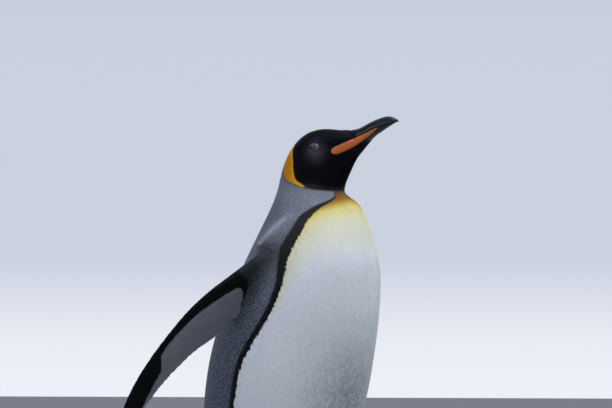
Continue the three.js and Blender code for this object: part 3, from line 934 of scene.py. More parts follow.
def silver_and_highlights(station, degrees, points):
    """0 on the slate back and 1 on the silver nape, with painted highlights along the shoulder's ridge and
    crest, the crest's above 1.
    """
    along, across = shoulder_axes(points[:, 0], points[:, 2])
    # Painted highlights: a pale line along the shoulder ridge, and a brighter one on the crest that lifts
    # grey above 1
    ridge = bump(across, 0, 7) * bump(along, 12, 34) * (degrees > 60) * (degrees < 130)
    strip = bump(degrees, 86, 5) * bump(station, 10.2, 1.1)
    crest_line = graded(CREST_LINE, station)
    crest_highlight = bump(degrees, crest_line, 6) * graded(CREST_HIGHLIGHT, station)
    behind = graded(BEHIND_CREST, station) * np.clip((degrees - crest_line - 4) / 20, 0, 1)
    grey = np.clip(graded(SILVER, station) + 0.4 * ridge + 0.32 * strip, 0, 1) + 1.9 * crest_highlight
    return grey * (1 - 0.75 * behind)


def armpit_shadow(points):
    """Painted shadow in the fold between a flipper and the body, where the flipper's dark band also runs onto
    the body.
    """
    start, end = np.array(ARMPIT)
    fold = end - start
    share = np.clip((points - start) @ fold / (fold**2).sum(), 0, 1)
    gap = np.linalg.norm(points - start - share[:, None] * fold, axis=1)
    return 1.1 * bump(gap, 0, ARMPIT_REACH)


def body_marks(station, angle):
    """Distances in millimetres to the edges of the markings, positive inside each of them."""
    points = body_points(station, np.abs(angle))
    degrees = np.degrees(np.abs(angle))
    hood_station, hood_degrees = np.array(HOOD_EDGE).T
    is_white = (degrees < graded(WHITE_EDGE[::-1], station)) & (station < WHITE_EDGE[0][0])
    is_hood = station > np.interp(degrees, hood_degrees, hood_station)
    is_gold = inside(GOLD_OUTLINE, station, degrees)
    white = edge_distance(WHITE_EDGE, points, is_white)
    nape = np.clip((degrees - 150) / 12, 0, 1) * graded(NAPE_SHADOW, station)
    cheek = bump(np.linalg.norm(points - CHEEK_SHEEN, axis=1), 0, CHEEK_REACH)
    # In the hood the shadow mark holds the cheek's painted sheen; elsewhere painted shade in the flippers'
    # folds, and the hood's darkening down the nape
    shadow = np.where(is_hood, cheek, np.clip(armpit_shadow(points) + 0.7 * nape, 0, 1))
    # On the white, the shadow mark is painted shade over the lower front of the belly
    shadow = np.where(is_white, bump(degrees, 0, 34) * graded(BELLY_SHADE_AND_DAMP, station), shadow)
    return plain_marks(len(points)) | {
        "white_edge": white,
        "band_edge": white + graded(BAND_WIDTH, station),
        "hood_edge": edge_distance(HOOD_EDGE, points, is_hood),
        "gold_edge": edge_distance(GOLD_OUTLINE + GOLD_OUTLINE[:1], points, is_gold),
        "throat": below_hood(station, points, white),
        # grey is the silver's share; above 1 it is the painted highlight on the shoulder's crest
        "grey": silver_and_highlights(station, degrees, points) * (1 - nape),
        "shadow": shadow,
    }


def blade_marks(station, angle):
    """Markings of a flipper: dark leading band, pale hem and the panel underneath, its white painted grey as
    shade.
    """
    reach, lead, trail = blade_at(station)[:, :3].T
    span, share, chord = reach / BLADE_LENGTH, (1 - np.cos(angle)) / 2, trail - lead
    under = np.sin(angle) > 0
    panel = np.minimum((share - graded(BLADE_BAND, span)) * chord, (span - PANEL_START) * BLADE_LENGTH)
    above = 4 - share * chord
    hem = (share - 0.965) * chord - 0.4
    outwards = np.clip((span - 0.05) / 0.07, -1, 1)
    dark = np.where(under, panel < 4, above > -6) * np.clip((0.3 - span) / 0.15, 0, 1)
    return plain_marks(len(span)) | {
        "panel_edge": np.where(under, panel, hem),
        "band_edge": np.minimum(np.where(under, 20, above), 20 * outwards),
        "grey": np.full(len(span), 0.08),
        "shadow": dark,
    }


def leg_marks(station, angle):
    """White in front, slate behind, and dark at the ankle."""
    z = leg_at(station)[:, 0]
    white = 30 * (np.cos(angle) + 0.5) - np.maximum(44 - z, 0) * 0.8
    return plain_marks(len(z)) | {"white_edge": white, "grey": np.full(len(z), 0.1)}


MARKERS = {"body": body_marks, "blade": blade_marks, "leg": leg_marks}
MARKS = ("white_edge", "band_edge", "hood_edge", "gold_edge", "throat", "grey", "shadow", "panel_edge")
OUTSIDE = -50.0  # the distance kept where a marking is nowhere near
PLAIN = {"throat": 200, "grey": 0, "shadow": 0}


def plain_marks(shape):
    """Marks of plumage outside every marking."""
    return {name: np.full(shape, float(PLAIN.get(name, OUTSIDE))) for name in MARKS}


# ---------- skin ----------

AROUND = (176, 72, 72, 64, 64)  # points round each form
JOINS = [(-100, 300, 44, 150), (300, 900, 26, 40)]  # rounded joins: above z, below z, reach, rounds
LIE_ROUNDS, MARK_ROUNDS = 60, 24
EASE = 0.6  # share of the way to its neighbours' mean that a value moves in one round
BODY_RINGS = [(-1, 0, 16), (0, 13, 170), (13, 16, 44), (16, BODY_END, 96)]  # from, to, number of rings
LIMB_RINGS = {"blade": 120, "leg": 60}
EYE_HOLLOW = 5.5  # mm that the skin sinks behind the lids


def stations_of(form):
    """Stations of a form's rings, close together where the markings are fine."""
    if form is BODY:
        rows = [np.linspace(a, b, n, endpoint=False) for a, b, n in BODY_RINGS]
        return np.append(np.concatenate(rows), BODY_END)
    return np.linspace(*form.ends, LIMB_RINGS[form.name])


def form_mesh(form, around):
    """A form as a closed mesh, with the station and angle of each point."""
    station = stations_of(form)
    angle = np.linspace(-math.pi, math.pi, around, endpoint=False)
    a, b = np.meshgrid(station, angle, indexing="ij")
    points, faces = closed_loft(form.points(a, b), turned=form.turn > 0)
    ends = [[station[0], 0], [station[-1], 0]]
    return points, faces, np.concatenate([np.stack([a, b], -1).reshape(-1, 2), ends])


def joined_skin():
    """One closed mesh of all forms: its points, its triangles and the forms' own points."""
    pieces, sources = [], []
    for index, (form, around) in enumerate(zip(FORMS, AROUND)):
        points, faces, places = form_mesh(form, around)
        pieces.append(new_piece(f"form_{index}", points * MM, faces, None))
        sources.append((points, places, np.full(len(points), index)))
    for piece in pieces[1:]:
        union = pieces[0].modifiers.new("union", "BOOLEAN")
        union.operation, union.solver, union.object = "UNION", "MANIFOLD", piece
    graph = bpy.context.evaluated_depsgraph_get()
    mesh = bpy.data.meshes.new_from_object(pieces[0].evaluated_get(graph))
    for piece in pieces:
        bpy.data.objects.remove(piece)
    mesh.calc_loop_triangles()
    points = read_all(mesh.vertices, "co") / MM
    triangles = read_all(mesh.loop_triangles, "vertices", kind=np.int32)
    bpy.data.meshes.remove(mesh)
    return points, triangles, sources


def nearest_sources(points, sources):
    """For each point, its form, station and angle, and how far it is from that form's own point."""
    every, places, form = (np.concatenate(part) for part in zip(*sources))
    tree = point_tree(every)
    _, index, off = (np.array(part) for part in zip(*(tree.find(point) for point in points)))
    return form[index], places[index], off


def neighbour_means(points, triangles):
    """The mean of each point's neighbours."""
    pairs = np.concatenate([triangles[:, [0, 1]], triangles[:, [1, 2]], triangles[:, [2, 0]]])
    pairs = np.concatenate([pairs, pairs[:, ::-1]])
    count = np.bincount(pairs[:, 0], minlength=len(points))
    columns = range(points.shape[1])
    sums = [np.bincount(pairs[:, 0], points[pairs[:, 1], k], len(points)) for k in columns]
    return np.stack(sums, -1) / np.maximum(count, 1)[:, None]


def smoothed_joins(points, triangles, off):
    """Rounds the creases that the union made. Returns how near each point is to one, 0 to 1."""
    crease = off > 1e-3
    nearness = np.zeros(len(points))
    for low, high, reach, rounds in JOINS:
        tree = point_tree(points[crease & (points[:, 2] > low) & (points[:, 2] < high)])
        away = np.array([tree.find(point)[2] for point in points])
        weight = np.clip(1 - away / reach, 0, 1) ** 0.7
        spread_values(points, triangles, weight, rounds)
        nearness = np.maximum(nearness, weight)
    return nearness


def spread_values(values, triangles, weight, rounds):
    """Evens out values between neighbours where the weight isn't 0."""
    moving = weight > 0
    near = triangles[moving[triangles].any(1)]
    for _ in range(rounds):
        means = neighbour_means(values, near)
        values[moving] += weight[moving, None] * (means[moving] - values[moving]) * EASE


def eye_share(points):
    """Below 1 inside the opening that the lids fill."""
    x = (points[..., 0] - EYE["x"]) / LIDS["half_length"]
    z = (points[..., 2] - EYE["z"]) / LIDS["half_height"]
    return np.where(np.abs(points[..., 1]) > 15, x**2 + z**2, 99)


def skin_marks(points, triangles, index, places, join):
    """Markings and lie of every point of the skin, evened out where forms run into each other."""
    table, lie = np.zeros((len(points), len(MARKS))), np.zeros((len(points), 3))
    for number, form in enumerate(FORMS):
        mine = index == number
        own = MARKERS[form.name](*places[mine].T)
        table[mine] = np.stack([own[name] for name in MARKS], -1)
        lie[mine] = form.frames(*places[mine].T)[2]
    spread_values(lie, triangles, join, LIE_ROUNDS)
    spread_values(table, triangles, join, MARK_ROUNDS)
    marks = dict(zip((*MARKS, "lie_x", "lie_y", "lie_z"), (*table.T, *lie.T)))
    # Painted shade in the crease round each flipper's root, on the body's front and the flipper's underside
    in_front = np.clip((112 - np.degrees(np.abs(places[:, 1]))) / 12, 0, 1)
    in_front = np.where(index == 0, in_front, np.sin(places[:, 1]) > 0)
    armpit = 0.8 * join**1.6 * in_front * (points[:, 2] > 300)
    marks["shadow"] = np.maximum(marks["shadow"], armpit)
    middle = np.full(len(points), 0.5)
    return marks | {"form": index, "join": join, "vane": middle + 0.4, "across": middle, "seed": middle}


class PENGUIN_OT_skin(bpy.types.Operator):
    """One skin over trunk, neck, head, flippers and legs, with the markings"""

    bl_idname = "penguin.skin"
    bl_label = "Skin"

    def execute(self, context):
        points, triangles, sources = joined_skin()
        index, places, off = nearest_sources(points, sources)
        join = smoothed_joins(points, triangles, off)
        hollow = EYE_HOLLOW * np.sqrt(np.clip(1 - eye_share(points), 0, 1))
        points[:, 1] -= np.sign(points[:, 1]) * hollow
        marks = skin_marks(points, triangles, index, places, join)
        skin = new_piece("skin", in_frame(points), [triangles], "plumage_hood", marks)
        map_corners(skin.data, skin_map(triangles, index, places))
        nodes = ["trunk", "neck", "head", "flipper_right", "flipper_left", "leg_right", "leg_left"]
        ride(skin, "plumage", *nodes)
        return {"FINISHED"}


# Each form's field of the map: left, right, bottom, top
FIELDS = [
    (0.01, 0.6, 0.01, 0.99), (0.62, 0.8, 0.5, 0.99), (0.81, 0.99, 0.5, 0.99),
    (0.62, 0.8, 0.01, 0.48), (0.81, 0.99, 0.01, 0.48),
]


def skin_map(triangles, index, places):
    """Unwraps each form's share of the skin into a field of its own."""
    face_form = index[triangles].min(1)
    own = index[triangles] == face_form[:, None]
    station, angle = places[triangles][..., 0], places[triangles][..., 1]
    highest = np.nanmax(np.where(own, angle, np.nan), axis=1, keepdims=True)
    angle = np.where(highest - angle > math.pi, angle + 2 * math.pi, angle)
    for values in (angle, station):
        mean = np.nanmean(np.where(own, values, np.nan), axis=1, keepdims=True)
        values[~own] = np.broadcast_to(mean, values.shape)[~own]
    uv = np.empty((len(triangles), 3, 2))
    for number, (form, (left, right, bottom, top)) in enumerate(zip(FORMS, FIELDS)):
        mine = face_form == number
        low, high = form.ends
        uv[mine, :, 0] = left + (right - left) * (angle[mine] / (2 * math.pi) + 0.5) * 0.98
        uv[mine, :, 1] = bottom + (top - bottom) * (station[mine] - low) / (high - low)
    return uv


# ---------- coat ----------

# One feather: a thin closed vane with three points on each of two rings between its root and its tip.
VANE_RINGS = np.array([0, 0.34, 0.78, 1])
VANE_WIDTHS = np.array([0, 0.95, 0.8, 0])
VANE_RISE = np.array([0, 0.6, 0.93, 1])
VANE_SPOTS = [(0, 0), (1, 1), (1, 0), (1, -1), (2, 1), (2, 0), (2, -1), (3, 0)]  # ring, side
VANE_TRIANGLES = np.array([[0, 2, 1], [0, 3, 2], [5, 7, 4], [6, 7, 5], [0, 1, 3], [4, 7, 6]])
VANE_QUADS = np.array([[2, 5, 4, 1], [3, 6, 5, 2], [1, 4, 6, 3]])
TRIANGLES_UP = [True] * 4 + [False] * 2
QUADS_UP = [True, True, False]
TUFT_PATCH = 0.003  # size of a vane's patch on the map
TRIALS = 2.6  # roots tried for each one that there is room for
OVERHANG = {"body": 0.05, "blade": 0.05, "leg": 0.55, "bill": 0.6}  # stations past a form's end
RAGGED = 0.3  # mm by which the white's edge differs from feather to feather
ROOT_DEPTH = 0.45  # mm that a root sits inside the skin
YAW = 0.1  # how much vanes turn from the lie, in radians
STRAY = 12  # mm off the skin at which a root is left out
OFF_FORM = 0.3  # mm between form and skin above which a vane follows the skin
LIMB_DEPTH = {"blade": 0.85, "leg": 1.3}  # mm of coat, as COAT_DEPTH is for the body
JOIN_DEPTH = 1.3  # mm of coat where forms run into each other
FRONT_ANGLE = 1.4  # radians to each side of the front line
RELIEF = {"front": 0.05, "back": 0.14, "limb": 0.12}  # how far vanes seem to lean from the skin
EYE_MARGINS = {0: 1.02, 2: 0.8, 3: 0.85}  # least eye_share for these rings of a vane
SIZE_RANGE = (0.86, 1.12)
SIZE_STATIONS = [0, 11.2, 13.8, 15.4, 17, 20.5, 22.5]  # where the body's feathers change size


def feather_sizes(form, station, angle):
    """Length, width and distance between roots at each place, in millimetres."""
    look = settings("plumage")
    if form is not BODY:
        return np.tile(np.array(getattr(look, form.name)) / MM, (len(station), 1))
    in_front = np.clip((np.cos(angle) + 0.05) / 0.3, 0, 1)[:, None]
    sizes = 0
    for trunk, share in ((look.back, 1 - in_front), (look.belly, in_front)):
        rows = np.array([trunk, trunk, look.neck, look.head, look.head, look.face, look.face]) / MM
        columns = [np.interp(station, SIZE_STATIONS, column) for column in rows.T]
        sizes = sizes + share * np.stack(columns, -1)
    return sizes


def scattered(form, stations, rng, rows=240, columns=120):
    """Places of roots spread evenly over a form."""
    step_a, step_b = (stations[1] - stations[0]) / rows, 2 * math.pi / columns
    a = np.linspace(*stations, rows + 1)[:-1] + step_a / 2
    b = np.linspace(-math.pi, math.pi, columns + 1)[:-1] + step_b / 2
    station, angle = (grid.ravel() for grid in np.meshgrid(a, b, indexing="ij"))
    speed, girth = form.frames(station, angle)[3:]
    weight = speed * step_a * girth * step_b / feather_sizes(form, station, angle)[:, 2] ** 2
    count = int(TRIALS * weight.sum())
    cell = rng.choice(len(weight), count, p=weight / weight.sum())
    station = station[cell] + (rng.random(count) - 0.5) * step_a
    angle = angle[cell] + (rng.random(count) - 0.5) * step_b
    points = form.points(station, angle)
    apart = feather_sizes(form, station, angle)[:, 2]
    tree = point_tree(points)
    free = np.ones(count, bool)
    kept = []
    for root in range(count):
        if free[root]:
            kept.append(root)
            for _, near, _ in tree.find_range(points[root], apart[root]):
                free[near] = False
    return station[kept], angle[kept]


class SkinMap:
    """The finished skin, to stand feathers on and to read its markings from."""

    def __init__(self, skin):
        mesh = skin.data
        self.points = (read_all(mesh.vertices, "co") - in_frame([[0, 0, 0]])) / MM
        self.triangles = read_all(mesh.loops, "vertex_index", 1, np.int32).reshape(-1, 3)
        self.tree = BVHTree.FromPolygons(self.points.tolist(), self.triangles.tolist())
        self.kept = {"normal": read_all(mesh.vertices, "normal")}
        for kept in mesh.attributes:
            if kept.domain == "POINT" and kept.data_type == "FLOAT":
                self.kept[kept.name] = read_all(kept.data, "value", 1)
        self.kept["lie"] = np.stack([self.kept[f"lie_{axis}"] for axis in "xyz"], -1)

    def nearest(self, points):
        """Nearest places on the skin, spots (faces and weights of their corners) and the gaps."""
        found = zip(*(self.tree.find_nearest(point) for point in points))
        places, _, faces, gaps = (np.array(part) for part in found)
        a, b, c = (self.points[self.triangles[faces, k]] for k in range(3))
        along, across, offset = b - a, c - a, places - a
        aa, ab, bb = ((p * q).sum(-1) for p, q in ((along, along), (along, across), (across, across)))
        oa, ob = (offset * along).sum(-1), (offset * across).sum(-1)
        size = aa * bb - ab * ab + 1e-12
        v, w = (bb * oa - ab * ob) / size, (aa * ob - ab * oa) / size
        return places, (faces, np.stack([1 - v - w, v, w], -1)), gaps

    def read(self, name, spot):
        """A mark or a direction of the skin at each spot."""
        faces, weights = spot
        values = self.kept[name][self.triangles[faces]]
        return (values * (weights if values.ndim == 2 else weights[..., None])).sum(1)

    def form_at(self, spot):
        """The number of the form that each spot belongs to."""
        faces, weights = spot
        return self.kept["form"][self.triangles[faces, weights.argmax(1)]]


def unit(vectors):
    """The same directions, each one long."""
    return vectors / (np.linalg.norm(vectors, axis=-1, keepdims=True) + 1e-9)


def chart_rings(form, station, angle, long, rng):
    """Places, normals and lie for each ring of each vane, straight from the form."""
    speed, girth = form.frames(station, angle)[3:]
    yaw = rng.normal(0, YAW, len(station))
    low, high = form.ends
    rings = []
    for reach in VANE_RINGS:
        along = station + form.lie * reach * long / speed
        along = np.clip(along, low - OVERHANG[form.name], high + 0.02)
        rings.append(form.frames(along, angle + yaw * reach * long / girth)[:3])
    return np.array(rings).swapaxes(0, 1)


def skin_rings(skin, place, spot, long, rng):
    """The same, stepped along the skin's own lie where forms run into each other."""
    up = unit(skin.read("normal", spot))
    way = skin.read("lie", spot)
    way = unit(way - up * (way * up).sum(-1, keepdims=True))
    way = unit(way + np.cross(up, way) * rng.normal(0, YAW, (len(way), 1)))
    rings = []
    for reach in VANE_RINGS:
        point, here, _ = skin.nearest(place + way * (reach * long)[:, None])
        up = unit(skin.read("normal", here))
        rings.append((point, up, unit(way - up * (way * up).sum(-1, keepdims=True))))
    return np.array(rings).swapaxes(0, 1)


def laid_rings(form, skin, roots, long, moved, rng):
    """Rings of all vanes. Those that are moved follow the skin, the others the form."""
    station, angle, place, *spot = roots
    rings = chart_rings(form, station, angle, long, rng)
    if moved.any():
        here = [part[moved] for part in spot]
        rings[:, :, moved] = skin_rings(skin, place[moved], here, long[moved], rng)
    return rings


def vane_marks(skin, point, rng):
    """Marks at each ring of each vane: read near its root and at its tip, even in between."""
    near, tip = (skin.nearest(point[ring])[1] for ring in (1, 3))
    share = np.clip((VANE_RINGS - VANE_RINGS[1]) / (1 - VANE_RINGS[1]), 0, 1)
    marks = {}
    for name in MARKS:
        first, last = skin.read(name, near), skin.read(name, tip)
        marks[name] = first[:, None] + (last - first)[:, None] * share
    marks["white_edge"] += rng.normal(0, RAGGED, len(first))[:, None]
    return marks


def vane_spots(sizes, cover, rings, relief, rng):
    """The points of each vane and the way its upper side faces there, both [vane, spot, xyz]."""
    point, normal, lie = rings
    count = len(sizes)
    wide = sizes[:, 1]
    lift = cover * rng.uniform(0.94, 1.0, count)
    crown = 0.02 * wide
    roll = rng.normal(0, 0.008, count) * wide
    tilt = rng.normal(0, relief / 3, (2, count, 1))
    spots, facing = [], []
    for ring, side in VANE_SPOTS:
        across = np.cross(normal[ring], lie[ring])
        height = -ROOT_DEPTH + (lift + ROOT_DEPTH) * VANE_RISE[ring]
        height = height + (crown if side == 0 and 0 < ring < 3 else roll * side)
        half = wide / 2 * VANE_WIDTHS[ring] * side
        spots.append(point[ring] + normal[ring] * height[:, None] + across * half[:, None])
        lean = (side * relief + tilt[0]) * across + (tilt[1] - relief * (1 - VANE_RINGS[ring])) * lie[ring]
        facing.append(unit(normal[ring] + lean))
    return np.stack(spots, 1), np.stack(facing, 1)


class Vanes:
    """Feathers of a coat: points, the ways they face, where their roots are, and marks."""

    def __init__(self, spots, facing, station, angle, marks):
        self.spots, self.facing, self.station, self.angle, self.marks = spots, facing, station, angle, marks

    def chosen(self, mask):
        marks = {name: values[mask] for name, values in self.marks.items()}
        return Vanes(self.spots[mask], self.facing[mask], self.station[mask], self.angle[mask], marks)


def clear_vanes(point, spots, facing, station, angle, marks, rng):
    """The vanes that don't lie over an eye or a plate, each with a number of its own."""
    seeds = rng.random(len(station))[:, None]
    marks["seed"] = np.repeat(seeds, len(VANE_RINGS), 1)
    return Vanes(spots, facing, station, angle, marks).chosen(~over_bare_parts(point))


def build_vanes(number, stations, seed, skin):
    """All feathers of a form that stand on its own part of the skin."""
    form = FORMS[number]
    rng = np.random.default_rng(seed)
    station, angle = scattered(form, stations, rng)
    place, spot, gap = skin.nearest(form.points(station, angle))
    own = (skin.form_at(spot) == number) & (gap < STRAY)
    station, angle, gap, place, *spot = (values[own] for values in (station, angle, gap, place, *spot))
    sizes = feather_sizes(form, station, angle) * rng.uniform(*SIZE_RANGE, (len(station), 3))
    join = skin.read("join", spot)
    roots = (station, angle, place, *spot)
    rings = laid_rings(form, skin, roots, sizes[:, 0], (gap > OFF_FORM) | (join > 0), rng)
    if form is BODY:
        cover = graded(COAT_DEPTH, station)
        relief = np.where(np.abs(angle) < FRONT_ANGLE, RELIEF["front"], RELIEF["back"])[:, None]
    else:
        cover, relief = LIMB_DEPTH[form.name], RELIEF["limb"]
    cover = cover + (JOIN_DEPTH - cover) * np.clip(join * 2, 0, 1)
    spots, facing = vane_spots(sizes, cover, rings, relief, rng)
    return clear_vanes(rings[0], spots, facing, station, angle, vane_marks(skin, rings[0], rng), rng)


def chin_vanes(skin, seed):
    """The small feathers that run forwards over the bill's base."""
    rng = np.random.default_rng(seed)
    station, angle = scattered(BILL_BASE, (0.05, CHIN_REACH[0][1]), rng)
    reach = graded(CHIN_REACH, np.degrees(np.abs(angle)))
    root = bill_points(station, angle)
    place, spot, _ = skin.nearest(root)
    above = ((root - place) * skin.read("normal", spot)).sum(-1)
    own = (above > -8) & (station < reach + rng.normal(0, 0.09, len(station)))
    station, angle, reach, above, place, *spot = (
        values[own] for values in (station, angle, reach, above, place, *spot)
    )
    fade = np.clip((reach - station) * 2.2, 0.25, 1)
    behind = above < -0.5
    sizes = feather_sizes(BILL_BASE, station, angle) * rng.uniform(*SIZE_RANGE, (len(station), 3))
    sizes = sizes * (0.6 + 0.4 * fade)[:, None]
    sizes[behind, 0] *= 1.6
    rings = laid_rings(BILL_BASE, skin, (station, angle, place, *spot), sizes[:, 0], behind, rng)
    spots, facing = vane_spots(sizes, 0.45 + 0.3 * fade + 0.3 * behind, rings, 0.1, rng)
    marks = plain_marks((len(station), len(VANE_RINGS)))
    marks["hood_edge"][:] = -OUTSIDE
    # Painted sheen: the upper chin feathers take a little of the cheek's sheen colour, lightening the shaded
    # notch above the bill
    marks["shadow"][:] = 0.12 * np.clip((np.degrees(np.abs(angle)) - 95) / 30, 0, 1)[:, None]
    return clear_vanes(rings[0], spots, facing, station, angle, marks, rng)


def plate_outline():
    """Upper and lower edges of the coloured plate, seen from the side."""
    u = (1 - np.cos(np.linspace(0, math.pi, 61))) / 2
    step = 1e-3
    place = PLATE["from"] + (PLATE["to"] - PLATE["from"]) * u
    upper = mouth_at(place)
    along = mouth_at(place + step) - mouth_at(place - step)
    along /= np.linalg.norm(along, axis=1, keepdims=True)
    round_end = np.sqrt(1 - (1 - np.minimum(u / 0.14, 1)) ** 2)
    deep = PLATE["depth"] * (1 - u**2.3) ** 0.75
    upper[:, 1] -= 0.35
    down = np.stack([along[:, 1], -along[:, 0]], -1) * deep[:, None]
    return upper + down * 0.5 * (1 - round_end[:, None]), upper + down * (0.5 + 0.5 * round_end[:, None])


def over_bare_parts(point):
    """Vanes that would lie over an eye or a plate."""
    upper, lower = plate_outline()
    outline = np.concatenate([upper, lower[::-1]])
    root = point[0]
    on_plate = inside(outline, root[:, 0], root[:, 2]) & (np.abs(root[:, 1]) > 4)
    near_eye = [eye_share(point[ring]) < margin for ring, margin in EYE_MARGINS.items()]
    return on_plate | np.any(near_eye, axis=0)


def on_map(values, low, high):
    """Values from low to high as a map coordinate with a small margin."""
    return 0.01 + 0.98 * (values - low) / (high - low)


def coat_piece(name, slot, finish, vanes, stations, angles=(-math.pi, math.pi)):
    """Joins vanes into one mesh, with each vane's patch on the unwrapped skin."""
    count = len(vanes.spots)
    first = np.arange(count)[:, None, None] * len(VANE_SPOTS)
    faces = [(VANE_TRIANGLES + first).reshape(-1, 3), (VANE_QUADS + first).reshape(-1, 4)]
    corners = np.concatenate([group.ravel() for group in faces])
    ring, side = np.array(VANE_SPOTS).T
    marks = {key: values[:, ring].ravel() for key, values in vanes.marks.items()}
    marks |= {"vane": np.tile(VANE_RINGS[ring], count), "across": np.tile(side, count)}
    up = [np.tile(TRIANGLES_UP, count), np.tile(QUADS_UP, count)]
    points = in_frame(vanes.spots.reshape(-1, 3))
    piece = new_piece(name, points, faces, finish, marks, np.concatenate(up))
    angle = np.where(vanes.angle < angles[0], vanes.angle + 2 * math.pi, vanes.angle)
    root = np.stack([on_map(angle, *angles), on_map(vanes.station, *stations)], -1)
    patch = np.stack([side / 2, VANE_RINGS[ring] - 0.5], -1) * TUFT_PATCH
    map_corners(piece.data, (root[:, None] + patch).reshape(-1, 2)[corners])
    upper = np.concatenate([np.repeat(up[0], 3), np.repeat(up[1], 4)])[:, None]
    piece.data.normals_split_custom_set(vanes.facing.reshape(-1, 3)[corners] * upper)
    ride(piece, slot)


HALVES = {
    "all": (-math.pi, math.pi),
    "front": (-math.pi / 2, math.pi / 2),
    "back": (math.pi / 2, 3 * math.pi / 2),
}
BODY_COATS = {
    # name: (slot, finish, stations, half)
    "coat_face": ("plumage_head", "plumage_hood", (20, 25), "all"),
    "coat_head": ("plumage_head", "plumage_hood", (16, 20), "all"),
    "coat_neck": ("plumage_neck", "plumage_trunk", (12.6, 16), "all"),
    "coat_breast": ("plumage", "plumage_trunk", (8.6, 12.6), "front"),
    "coat_belly": ("plumage", "plumage_trunk", (4.4, 8.6), "front"),
    "coat_belly_lower": ("plumage", "plumage_trunk", (-2, 4.4), "front"),
    "coat_shoulders": ("plumage", "plumage_trunk", (8.2, 12.6), "back"),
    "coat_back": ("plumage", "plumage_trunk", (-2, 8.2), "back"),
}
LIMB_COATS = {
    # form: (slot, finish, first station)
    "blade": ("flipper_feathers", "plumage_blade", 0.4),
    "leg": ("plumage", "plumage_trunk", 0.12),
}


class PENGUIN_OT_coat(bpy.types.Operator):
    """Feathers over the whole skin, as thin closed vanes that follow the lie"""

    bl_idname = "penguin.coat"
    bl_label = "Coat"

    def execute(self, context):
        skin = SkinMap(bpy.data.objects["skin"])
        seed = settings("plumage").seed
        self.body_coats(build_vanes(0, (-0.95, BODY_END - 0.02), seed, skin))
        for number, form in enumerate(FORMS[1:], 1):
            slot, finish, first = LIMB_COATS[form.name]
            vanes = build_vanes(number, (first, form.ends[1] - 0.03), seed + number, skin)
            coat_piece(f"coat_{FORM_NAMES[number]}", slot, finish, vanes, form.ends)
        coat_piece("coat_chin", "plumage_head", "plumage_hood", chin_vanes(skin, seed + 9), (0, 3))
        return {"FINISHED"}

    def body_coats(self, vanes):
        in_front = np.abs(vanes.angle) < math.pi / 2
        for name, (slot, finish, (low, high), half) in BODY_COATS.items():
            mine = (vanes.station >= low) & (vanes.station < high)
            if half != "all":
                mine &= in_front == (half == "front")
            own = vanes.chosen(mine)
            stations = (own.station.min(), own.station.max())
            coat_piece(name, slot, finish, own, stations, HALVES[half])


# ---------- bill ----------


def mouth_share(top, bottom):
    """Where the mouth line crosses each section of the bill: 0 at its top, 1 at its bottom."""
    line = mouth_at(np.linspace(0, len(MOUTH) - 1, 400))
    shares = np.linspace(0, 1, 201)
    across = top[:, None] + (bottom - top)[:, None] * shares[None, :, None]
    above = across[..., 1] > np.interp(across[..., 0], line[:, 0], line[:, 1])
    return np.where(above.all(1), 1.0, shares[np.argmin(above, axis=1)])


def bill_rows(count):
    """Sections along the bill: top and bottom points, half width and station."""
    station = np.linspace(0, len(BILL) - 1, count)
    rows = bill_at(station)
    top, bottom, wide = rows[:, :2], rows[:, 2:4], rows[:, 4]
    u = np.linspace(0.12, 1, 14) ** 0.8
    shrink = np.sqrt(1 - (u * 0.995) ** 2)[:, None]
    middle = (top[-1] + bottom[-1]) / 2
    centre = middle + (np.array(BILL_TIP) - middle) * u[:, None]
    top = np.concatenate([top, centre + (top[-1] - middle) * shrink])
    bottom = np.concatenate([bottom, centre + (bottom[-1] - middle) * shrink])
    wide = np.concatenate([wide, wide[-1] * shrink[:, 0]])
    return top, bottom, wide, np.concatenate([station, station[-1] + u])


GROOVE = {"level": 0.42, "station": 3.3, "reach": 2.2, "depth": 0.16}  # on each side of the upper bill
NOSTRIL = {"station": 2.3, "reach": 0.35}


def mandible(upper, count=110, around=44, roof=9, gap=0.12):
    """Rings of one mandible, and where its painted highlights lie, along its ridge and, on the upper one,
    below the groove. Levels run from -1 up to 1.
    """
    sections = bill_rows(count)
    share = mouth_share(*sections[:2])
    kept = share < (2 if upper else 0.93)
    top, bottom, wide, station, share = (values[kept] for values in (*sections, share))
    height = np.linalg.norm(top - bottom, axis=1)
    sign = 1 if upper else -1
    mouth = (1 - 2 * share + sign * 2 * gap / height)[:, None]
    turn = np.arccos(np.clip(mouth, -0.999, 0.999))
    sweep = np.linspace(-1, 1, around)
    theta = turn * sweep if upper else math.pi + (math.pi - turn) * sweep
    level, y = np.cos(theta), wide[:, None] * np.sin(theta)

    groove = mouth + (1 - mouth) * GROOVE["level"]
    long_groove = np.exp(-(((station - GROOVE["station"]) / GROOVE["reach"]) ** 4))
    nostril = bump(station, NOSTRIL["station"], NOSTRIL["reach"])
    dent = GROOVE["depth"] * (long_groove + nostril)[:, None] * bump(level, groove, 0.1) * upper
    y = y * (1 - dent + 0.035 * bump(level, mouth, 0.07))
    across = np.linspace(1, -1, roof + 2)[1:-1]
    inner = mouth + sign * 0.21 * (1 - across**2) * (1 - np.abs(mouth))
    level, y = np.concatenate([level, inner], 1), np.concatenate([y, y[:, -1:] * across], 1)
    xz = (top + bottom)[:, None] / 2 + (top - bottom)[:, None] / 2 * level[..., None]
    # Painted highlights on the horn: the culmen, the lower mandible's keel, and a line below the groove on
    # the upper mandible
    ridge = np.clip(level, 0, 1) ** 5 * 0.8 if upper else np.clip(-level, 0, 1) ** 3 * 0.5
    ridge = ridge + 0.75 * bump(level, groove - 0.2, 0.1) * upper
    return np.stack([xz[..., 0], y, xz[..., 1]], -1), ridge


